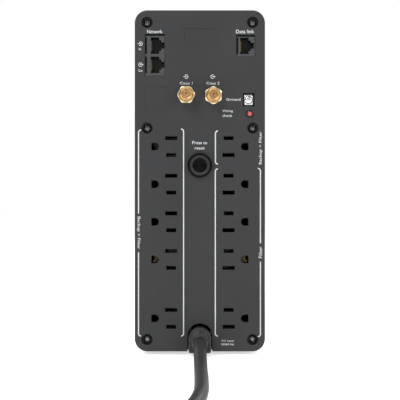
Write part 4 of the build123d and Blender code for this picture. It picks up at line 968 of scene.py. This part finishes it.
barrel_back = turned(
    [(0, COAX_BACK), (4.5, COAX_BACK), (4.6, -4.5), (6.5, -4.5), (6.6, -4.3), (6.6, -2.52), (4.6, -2.52),
     (4.6, THREAD_FROM)], 48
)
barrel_thread = threaded(COAX_RADIUS, 0.42, COAX_PITCH, THREAD_FROM, THREAD_TO)
barrel_nose = turned(
    [(4.3, 10.15), (4.05, 10.42), (3.85, COAX_REACH), (3.7, 10.42), (3.62, 10.1), (3.3, 10.02), (3.2, 10.2),
     (2.55, 10.26), (2.4, 10.08), (2.1, 10.05), (1.95, 10.22), (1.2, 10.24), (0.95, 10.1), (0.85, 9.6),
     (0.8, 5.0), (0, 5.0)], 48
)
barrel = np.concatenate([barrel_back, barrel_thread, barrel_nose])
barrels = [skin(on_panel(at(barrel, *place))) for place in COAX_PLACES]
make(
    "coax_barrels", gather(barrels), "old_gold", stands_for=["coax_connectors"], crease=28
)
print("barrel rings", len(barrel))

# %% Hexagonal nuts
NUT_FLATS = 12.2
NUT_HEIGHT = 2.6
NUT_CORNER = 6.7
NUT_TURNS = (0.0, 30.0)
CONE_SLOPE = math.tan(math.radians(60))


def hexagon(angle, turn):
    """Distance to a hexagon's side: the half flats over the cosine of the angle off its middle."""
    off_middle = (angle - math.radians(turn)) % (math.pi / 3) - math.pi / 6
    return NUT_FLATS / 2 / np.cos(off_middle)


def nut_rings(turn, count=96):
    """Rings round a nut: up the outside, where a cone cuts the corners, and down the bore."""
    angle = ring_angles(count)
    heights = np.concatenate([[0.0, 0.3], np.linspace(NUT_HEIGHT - 0.75, NUT_HEIGHT, 10)])
    cone = NUT_FLATS / 2 - 0.05 + (NUT_HEIGHT - heights) * CONE_SLOPE
    cone[0] = NUT_FLATS / 2 + 0.5
    outer = np.minimum(hexagon(angle[None, :], turn), np.minimum(cone, NUT_CORNER)[:, None])
    bore = np.repeat(np.array([[5.35], [5.0], [4.62], [4.62]]), count, 1)
    out = np.concatenate([heights, [NUT_HEIGHT, NUT_HEIGHT - 0.15, NUT_HEIGHT - 0.4, 0.0]])[:, None]
    return round_rings(np.concatenate([outer, bore]), angle, out)


nuts = [
    skin(on_panel(at(nut_rings(turn), *place)), looped=True)
    for place, turn in zip(COAX_PLACES, NUT_TURNS)
]
make("hex_nuts", gather(nuts), "gold", stands_for=["coax_nuts"], crease=20)
print("nuts", len(nuts))

# %% [markdown]
# ## Screws
# A pan head is a shallow dome with a cross-shaped recess. The recess is cut by a function of the
# place on the head: two bars at right angles with sloping walls, deepest in the middle.

# %% Screw shape
def cross_depth(across, up, arm, width, depth, turn):
    """Depth of a cross recess: each bar is deep inside its width and its length and slopes up at
    its walls, and the deeper of the two bars counts."""
    cosine, sine = math.cos(math.radians(turn)), math.sin(math.radians(turn))
    first = across * cosine + up * sine
    second = up * cosine - across * sine
    slope = 0.28
    bars = []
    for along, beside in ((first, second), (second, first)):
        inside = np.clip((width / 2 - np.abs(beside)) / slope + 0.5, 0, 1)
        length = np.clip((arm / 2 - np.abs(along)) / (3 * slope) + 0.5, 0, 1)
        bars.append(inside * length)
    return depth * np.maximum(bars[0], bars[1])


def screw(head, height, arm, width, depth, turn, shank, length, pitch):
    """A pan-head screw whose seat is at out = 0: shank below, domed head above with its recess."""
    point = turned([(0, -length), (shank * 0.6, -length), (shank * 0.9, -length + 0.6)], 96)
    thread = threaded(shank, shank * 0.18, pitch, -length + 0.8, -0.6, 6, 96)
    side = turned([(shank, -0.3), (shank, 0), (head, 0), (head, height * 0.3)], 96)
    radius = head * np.sqrt(np.linspace(1, 0, 42))[:, None]
    angle = ring_angles(96)[None, :]
    across, up = radius * np.cos(angle), radius * np.sin(angle)
    dome = height * (1 - 0.55 * (radius / head) ** 4) - 0.15 * height * (radius / head) ** 2
    out = dome - cross_depth(across, up, arm, width, depth, turn)
    return np.concatenate([point, thread, side, np.stack([across, up, out], -1)])


# %% Case screws
SCREW_X = 39.7
SCREW_ROWS = (247.5, 168.0, 9.0)
SCREW_SEAT = -5.5
SCREW_TURNS = (45, 20, 70, 33, 58, 12)
screw_places = [(side * SCREW_X, row) for side in (-1, 1) for row in SCREW_ROWS]
case_screws = []
for place, turn in zip(screw_places, SCREW_TURNS):
    rings = screw(
        head=2.8, height=2.2, arm=3.3, width=0.9, depth=1.3, turn=turn, shank=1.5, length=14.0, pitch=1.3
    )
    case_screws.append(skin(on_panel(at(rings, *place, SCREW_SEAT))))
make("case_screws", gather(case_screws), "screw", stands_for=["panel_screws"], crease=32)
print("case screws", len(case_screws), "rings", len(rings))

# %% [markdown]
# ## Ground terminal
# A bright plate clamps a bare wire under a cross-slot screw. The plate and the screw travel
# separately, so they are two pieces. The plate is pressed from sheet: its edge is rolled over,
# and four small teeth stand at its corners.

# %% Ground terminal
TERMINAL = (36.7, 189.3)
PLATE_HALF = (3.5, 3.95)
PLATE_BACK = -3.4
PLATE_FACE = -2.0
SCREW_HOLE = 1.98


def plate_rings(count=96):
    """Rings over a square plate: up the rolled edge, in over the face with its teeth, down the hole."""
    angle = ring_angles(count)[None, :]
    shrink = np.array([0, 0, 0.06, 0.2, 0.38])[:, None]
    edge_a, edge_b = superellipse(angle, PLATE_HALF[0] - shrink, PLATE_HALF[1] - shrink, 9)
    edge_out = np.array([PLATE_BACK, -2.4, -2.15, -2.03, PLATE_FACE])[:, None] + 0 * angle
    share = np.linspace(0.04, 1, 22)[:, None]
    face_a = edge_a[-1] * (1 - share) + SCREW_HOLE * np.cos(angle) * share
    face_b = edge_b[-1] * (1 - share) + SCREW_HOLE * np.sin(angle) * share
    off_a, off_b = np.abs(face_a) - 2.55, np.abs(face_b) - 2.95
    tooth = 0.35 * np.exp(-(off_a**2 + off_b**2) / 0.1)
    groove = 0.25 * np.exp(-((face_b + 2.6) ** 2) / 0.02) * (np.abs(face_a) < 2.1)
    face_out = PLATE_FACE + tooth - groove
    hole = turned([(SCREW_HOLE, PLATE_FACE), (SCREW_HOLE, PLATE_BACK)], count)
    edge = np.stack([edge_a, edge_b, edge_out], -1)
    return np.concatenate([edge, np.stack([face_a, face_b, face_out], -1), hole])


plate = skin(on_panel(at(plate_rings(), *TERMINAL)), looped=True)
make(
    "clamp_plate", plate, "nickel", "ground_clamp", ["ground_clamp_plate"], crease=30
)
rings = screw(
    head=2.9, height=1.5, arm=4.4, width=0.8, depth=0.9, turn=25, shank=1.9, length=7.5, pitch=0.8
)
make(
    "clamp_screw", skin(on_panel(at(rings, *TERMINAL, -1.95))), "nickel",
    "ground_screw", ["ground_screw"], crease=32,
)
print("ground terminal made")

# %% [markdown]
# ## Fault light and circuit breaker
# The light is a cast lens with a domed nose in a thin black holder. The breaker's parts are
# turned: a round nut with a rolled edge, and a button with a ring pressed in its face.

# %% Fault light and breaker
LIGHT = (37.4, 178.7)
nose = [(2.06 * math.cos(turn), 0.35 + 0.85 * math.sin(turn)) for turn in np.radians(np.linspace(0, 90, 14))]
make(
    "light_lens", skin(on_panel(at(turned([(0, -8.0), (2.06, -8.0)] + nose, 64), *LIGHT))),
    "lens", stands_for=["fault_led"], crease=40,
)

BREAKER = (0.0, 140.0)
rolling = np.radians(np.linspace(90, 0, 9))
rolled = [(8.75 + 0.5 * math.sin(turn), 2.1 + 0.5 * math.cos(turn)) for turn in rolling]
nut_profile = [(9.1, 0.0), (9.25, 0.2)] + rolled + [(8.2, 2.6), (7.9, 2.5), (7.52, 1.9), (7.52, 0.0)]
make(
    "breaker_ring", skin(on_panel(at(turned(nut_profile, 96), *BREAKER)), looped=True),
    "breaker_black", stands_for=["breaker_nut"], crease=30,
)
button_profile = [
    (0, -19.3), (4.7, -19.3), (4.74, -19.0), (4.74, 0.0), (4.68, 0.35), (4.45, 0.6), (4.1, 0.7), (3.5, 0.7),
    (3.35, 0.62), (3.25, 0.25), (2.75, 0.22), (2.6, 0.55), (2.45, 0.66), (1.5, 0.6), (1.35, 0.4), (1.1, 0.38),
    (0.9, 0.55), (0, 0.6),
]
make(
    "breaker_cap", skin(on_panel(at(turned(button_profile, 72), *BREAKER))),
    "breaker_black", "breaker_button", ["breaker_button"], crease=35,
)
print("breaker and light made")

# %% [markdown]
# ## Printed lines, words and signs
# The panel carries white screen print: brackets that group the outlets, short words and small
# arrows. Print has a thickness, so each mark is a thin closed shape that stands a few hundredths
# of a millimetre proud. A line is a flat section carried along a path, and words are Blender
# text, made a mesh and scaled to the width and height that they have on the panel.

# %% Strokes
PRINT_LOW = -0.02
PRINT_HIGH = 0.045


def stroke(path, width):
    """A flat line along a path of (across, up) points: each point is moved half the width to
    either side, along the normal of the path there."""
    path = np.array(path, float)
    along = np.gradient(path, axis=0)
    along /= np.linalg.norm(along, axis=1)[:, None]
    beside = np.stack([-along[:, 1], along[:, 0]], -1) * width / 2
    left, right = path + beside, path - beside
    corners = [(left, PRINT_LOW), (right, PRINT_LOW), (right, PRINT_HIGH), (left, PRINT_HIGH)]
    rings = [np.concatenate([side, np.full((len(path), 1), out)], 1) for side, out in corners]
    return skin(np.stack(rings, 1))


def patch(outline):
    """A flat filled outline with the print's thickness."""
    outline = np.array(outline, float)
    rings = [np.concatenate([outline, np.full((len(outline), 1), out)], 1) for out in (PRINT_LOW, PRINT_HIGH)]
    return skin(np.stack(rings))


def arc(centre, radius, start_angle, end_angle, count=12):
    """Points of an arc, in order, with angles in degrees."""
    angle = np.radians(np.linspace(start_angle, end_angle, count))
    return np.stack([centre[0] + radius * np.cos(angle), centre[1] + radius * np.sin(angle)], -1)


print("stroke tools ready")

# %% Brackets round the outlets
LINE_WIDTH = 0.8
HOOK = 1.9


def bracket(across, low, high, towards, hook_low=True, hook_high=True):
    """An upright line whose ends turn towards the outlets by a quarter circle."""
    path = [(across, low + HOOK), (across, high - HOOK)]
    if hook_low:
        turn = (180, 270) if towards > 0 else (0, -90)
        path = list(arc((across + towards * HOOK, low + HOOK), HOOK, *turn))[::-1] + path[1:]
    else:
        path[0] = (across, low)
    if hook_high:
        turn = (180, 90) if towards > 0 else (0, 90)
        path = path[:-1] + list(arc((across + towards * HOOK, high - HOOK), HOOK, *turn))
    else:
        path[-1] = (across, high)
    return stroke(path, LINE_WIDTH)


brackets = [
    bracket(-46.1, 103.7, 166.5, 1, hook_low=False),
    bracket(-46.1, 11.7, 74.6, 1, hook_high=False),
    bracket(-12.25, 11.7, 167.2, -1),
    bracket(11.7, 140.9, 165.8, 1),
    bracket(11.6, 11.7, 137.3, 1),
    bracket(45.5, 81.4, 137.7, -1, hook_low=False),
    bracket(45.5, 11.2, 67.6, -1, hook_high=False),
]


def on_panel_shape(shape):
    """A shape in panel millimetres, in metres."""
    return on_panel(shape[0]), shape[1]


make("outlet_brackets", on_panel_shape(gather(brackets)), "ink")
print("brackets", len(brackets))

# %% Words
def lettering(words, width, tall):
    """Words as a shape, centred, scaled to a width and a height in millimetres."""
    text = bpy.data.curves.new("letters", "FONT")
    text.body = words
    text.resolution_u = 3
    text.offset = 0.005
    text.extrude = 0.5
    letters = bpy.data.objects.new("letters", text)
    mesh = bpy.data.meshes.new_from_object(letters)
    points = np.empty(len(mesh.vertices) * 3)
    mesh.vertices.foreach_get("co", points)
    points = points.reshape(-1, 3)
    faces = [list(face.vertices) for face in mesh.polygons]
    bpy.data.objects.remove(letters)
    bpy.data.meshes.remove(mesh)
    low, high = points.min(0), points.max(0)
    points = (points - (low + high) / 2) / (high - low)
    thickness = PRINT_HIGH - PRINT_LOW
    points = points * np.array([width, tall, thickness]) + np.array([0, 0, PRINT_LOW + thickness / 2])
    return points, faces


def placed_words(words, across, up, width, tall, turn=0):
    """Words turned by quarter turns and moved to a spot."""
    points, faces = lettering(words, width, tall)
    cosine, sine = math.cos(math.radians(turn)), math.sin(math.radians(turn))
    a, b = points[:, 0].copy(), points[:, 1].copy()
    points[:, 0] = a * cosine - b * sine + across
    points[:, 1] = a * sine + b * cosine + up
    return points, faces


panel_words = [
    ("Network", -33.95, 240.5, 11.4, 2.7),
    ("Data link", 33.95, 240.5, 13.6, 2.7),
    ("In", -45.0, 227.3, 1.7, 1.7),
    ("Out", -44.7, 211.2, 3.2, 1.8),
    ("Coax 1", -10.3, 201.7, 9.6, 2.0),
    ("Coax 2", 9.8, 201.7, 9.8, 2.0),
    ("Ground", 25.2, 189.5, 10.6, 2.0),
    ("Wiring", 20.9, 180.6, 7.8, 2.3),
    ("check", 20.7, 177.3, 7.4, 1.9),
    ("Press to", -0.1, 157.0, 11.2, 2.4),
    ("reset", -0.1, 152.8, 7.4, 2.0),
    ("Backup + Filter", -46.1, 89.2, 24.5, 2.7, -90),
    ("Backup + Filter", 45.7, 153.0, 24.5, 2.7, 90),
    ("Filter", 45.5, 74.6, 8.6, 2.5, 90),
    ("AC input", 20.9, 8.0, 9.4, 1.6),
    ("50/60 Hz", 20.9, 5.5, 9.4, 1.5),
]
words = [placed_words(*entry) for entry in panel_words]
make("panel_words", on_panel_shape(gather(words)), "ink", crease=30)
print("words", len(words))

# %% Arrow signs
SIGN_RADIUS = 1.35
SIGN_LINE = 0.42


def arrow_sign(across, up, leaving):
    """A ring open on one side, with an arrow through the gap: inwards, or leaving."""
    open_side = 0 if leaving else 180
    ring = stroke(arc((across, up), SIGN_RADIUS, open_side + 42, open_side + 318, 24), SIGN_LINE)
    tail = -0.5 if leaving else -2.2
    tip = 2.3 if leaving else 0.5
    shaft = stroke([(across + tail, up), (across + tip - 0.7, up)], SIGN_LINE)
    head = patch([(across + tip - 0.95, up + 0.75), (across + tip - 0.95, up - 0.75), (across + tip, up)])
    return gather([ring, shaft, head])


signs = [
    arrow_sign(-44.6, 231.3, False),
    arrow_sign(-44.6, 215.6, True),
    arrow_sign(-10.3, 206.6, False),
    arrow_sign(9.5, 206.6, True),
]
make("arrow_signs", on_panel_shape(gather(signs)), "ink")
print("signs", len(signs))

# %% [markdown]
# ## The display side
# Behind the smoked window the display is on: three digits, and two rows of bars for load and
# charge. Its marks are dark on a lit ground. Each key carries its sign in the same print as the
# panel, and rides with its key.

# %% Display marks
DISPLAY = middle_of("lcd_module")
display_face = (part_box("lcd_module")[1][1] - front_face) / MM
display_middle = (-DISPLAY[0] / MM, (DISPLAY[2] - panel_bottom) / MM)
DIGIT_WIDE = 6.4
DIGIT_TALL = 12.0
DIGIT_PITCH = 9.4
SEGMENT = 1.5
SEGMENTS = {"0": "abcdef", "1": "bc", "2": "abdeg"}


def bar(start_point, end_point):
    """One segment of a digit: a bar with pointed ends."""
    start_point, end_point = np.array(start_point, float), np.array(end_point, float)
    along = (end_point - start_point) / np.linalg.norm(end_point - start_point)
    beside = np.array([-along[1], along[0]]) * SEGMENT / 2
    inner = along * SEGMENT / 2
    outline = [
        start_point, start_point + inner + beside, end_point - inner + beside,
        end_point, end_point - inner - beside, start_point + inner - beside,
    ]
    return patch(outline)


def digit(figure, across, up):
    """A seven-segment figure, centred on a spot."""
    left, right = across - DIGIT_WIDE / 2, across + DIGIT_WIDE / 2
    top, bottom = up + DIGIT_TALL / 2, up - DIGIT_TALL / 2
    ends = {
        "a": ((left, top), (right, top)),
        "b": ((right, top), (right, up)),
        "c": ((right, up), (right, bottom)),
        "d": ((left, bottom), (right, bottom)),
        "e": ((left, up), (left, bottom)),
        "f": ((left, top), (left, up)),
        "g": ((left, up), (right, up)),
    }
    return [bar(*ends[segment]) for segment in SEGMENTS[figure]]


BAR_HALF = 3.6
BAR_PITCH = 2.9
BAR_TALL = 1.8
FRAME_HALF = 4.9
FRAME_LINE = 0.35


def gauge(across, up, lit, count=5):
    """A column of bars in a thin frame, with the lowest ones lit."""
    levels = [up + BAR_PITCH * step for step in range(lit)]
    marks = [stroke([(across - BAR_HALF, level), (across + BAR_HALF, level)], BAR_TALL) for level in levels]
    low, high = up - BAR_TALL, up + BAR_PITCH * (count - 1) + BAR_TALL
    left, right = across - FRAME_HALF, across + FRAME_HALF
    for edge in (left, right):
        marks.append(stroke([(edge, low), (edge, high)], FRAME_LINE))
    for level in (low, high):
        marks.append(stroke([(left, level), (right, level)], FRAME_LINE))
    return marks


middle_across, middle_up = display_middle
marks = []
for index, figure in enumerate("120"):
    marks += digit(figure, middle_across + (index - 1) * DIGIT_PITCH, middle_up + 2.5)
marks += gauge(middle_across - 20.0, middle_up - 7.5, 2)
marks += gauge(middle_across + 20.0, middle_up - 7.5, 5)
marks.append(placed_words("V", middle_across, middle_up - 9.5, 3.0, 3.2))
marks.append(placed_words("Load", middle_across - 20.0, middle_up - 13.0, 7.0, 2.2))
marks.append(placed_words("Charge", middle_across + 20.0, middle_up - 13.0, 10.0, 2.4))
points, faces = gather(marks)
make("display_marks", (on_front(at(points, 0, 0, display_face)), faces), "epoxy")
print("display marks", len(marks))

# %% Key signs
KEY_LINE = 0.6


def key_centre(node):
    """Middle and face of a key in millimetres, as someone facing it sees them."""
    low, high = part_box(node)
    face = (high[1] - front_face) / MM
    return -(low[0] + high[0]) / 2 / MM, ((low[2] + high[2]) / 2 - panel_bottom) / MM, face


def power_sign():
    """A ring open at the top with a short bar in the gap."""
    return [stroke(arc((0, 0), 2.4, 122, 418, 28), KEY_LINE), stroke([(0, 0.7), (0, 3.1)], KEY_LINE)]


def menu_sign():
    """Three level bars."""
    return [stroke([(-2.3, step), (2.3, step)], KEY_LINE) for step in (-1.7, 0.0, 1.7)]


def mute_sign():
    """A speaker with a stroke across it."""
    cone = patch([(-1.2, 0.8), (-1.2, -0.8), (0.6, -2.0), (0.6, 2.0)])
    magnet = patch([(-2.4, 0.8), (-2.4, -0.8), (-1.5, -0.8), (-1.5, 0.8)])
    crossed = [stroke([(1.4, -rise), (3.2, rise)], KEY_LINE) for rise in (1.5, -1.5)]
    return [cone, magnet, *crossed]


for node, sign in (("power_button", power_sign), ("menu_button", menu_sign), ("mute_button", mute_sign)):
    points, faces = gather(sign())
    shape = (on_front(at(points, *key_centre(node))), faces)
    make(node + "_sign", shape, "ink", node)
print("key signs made")
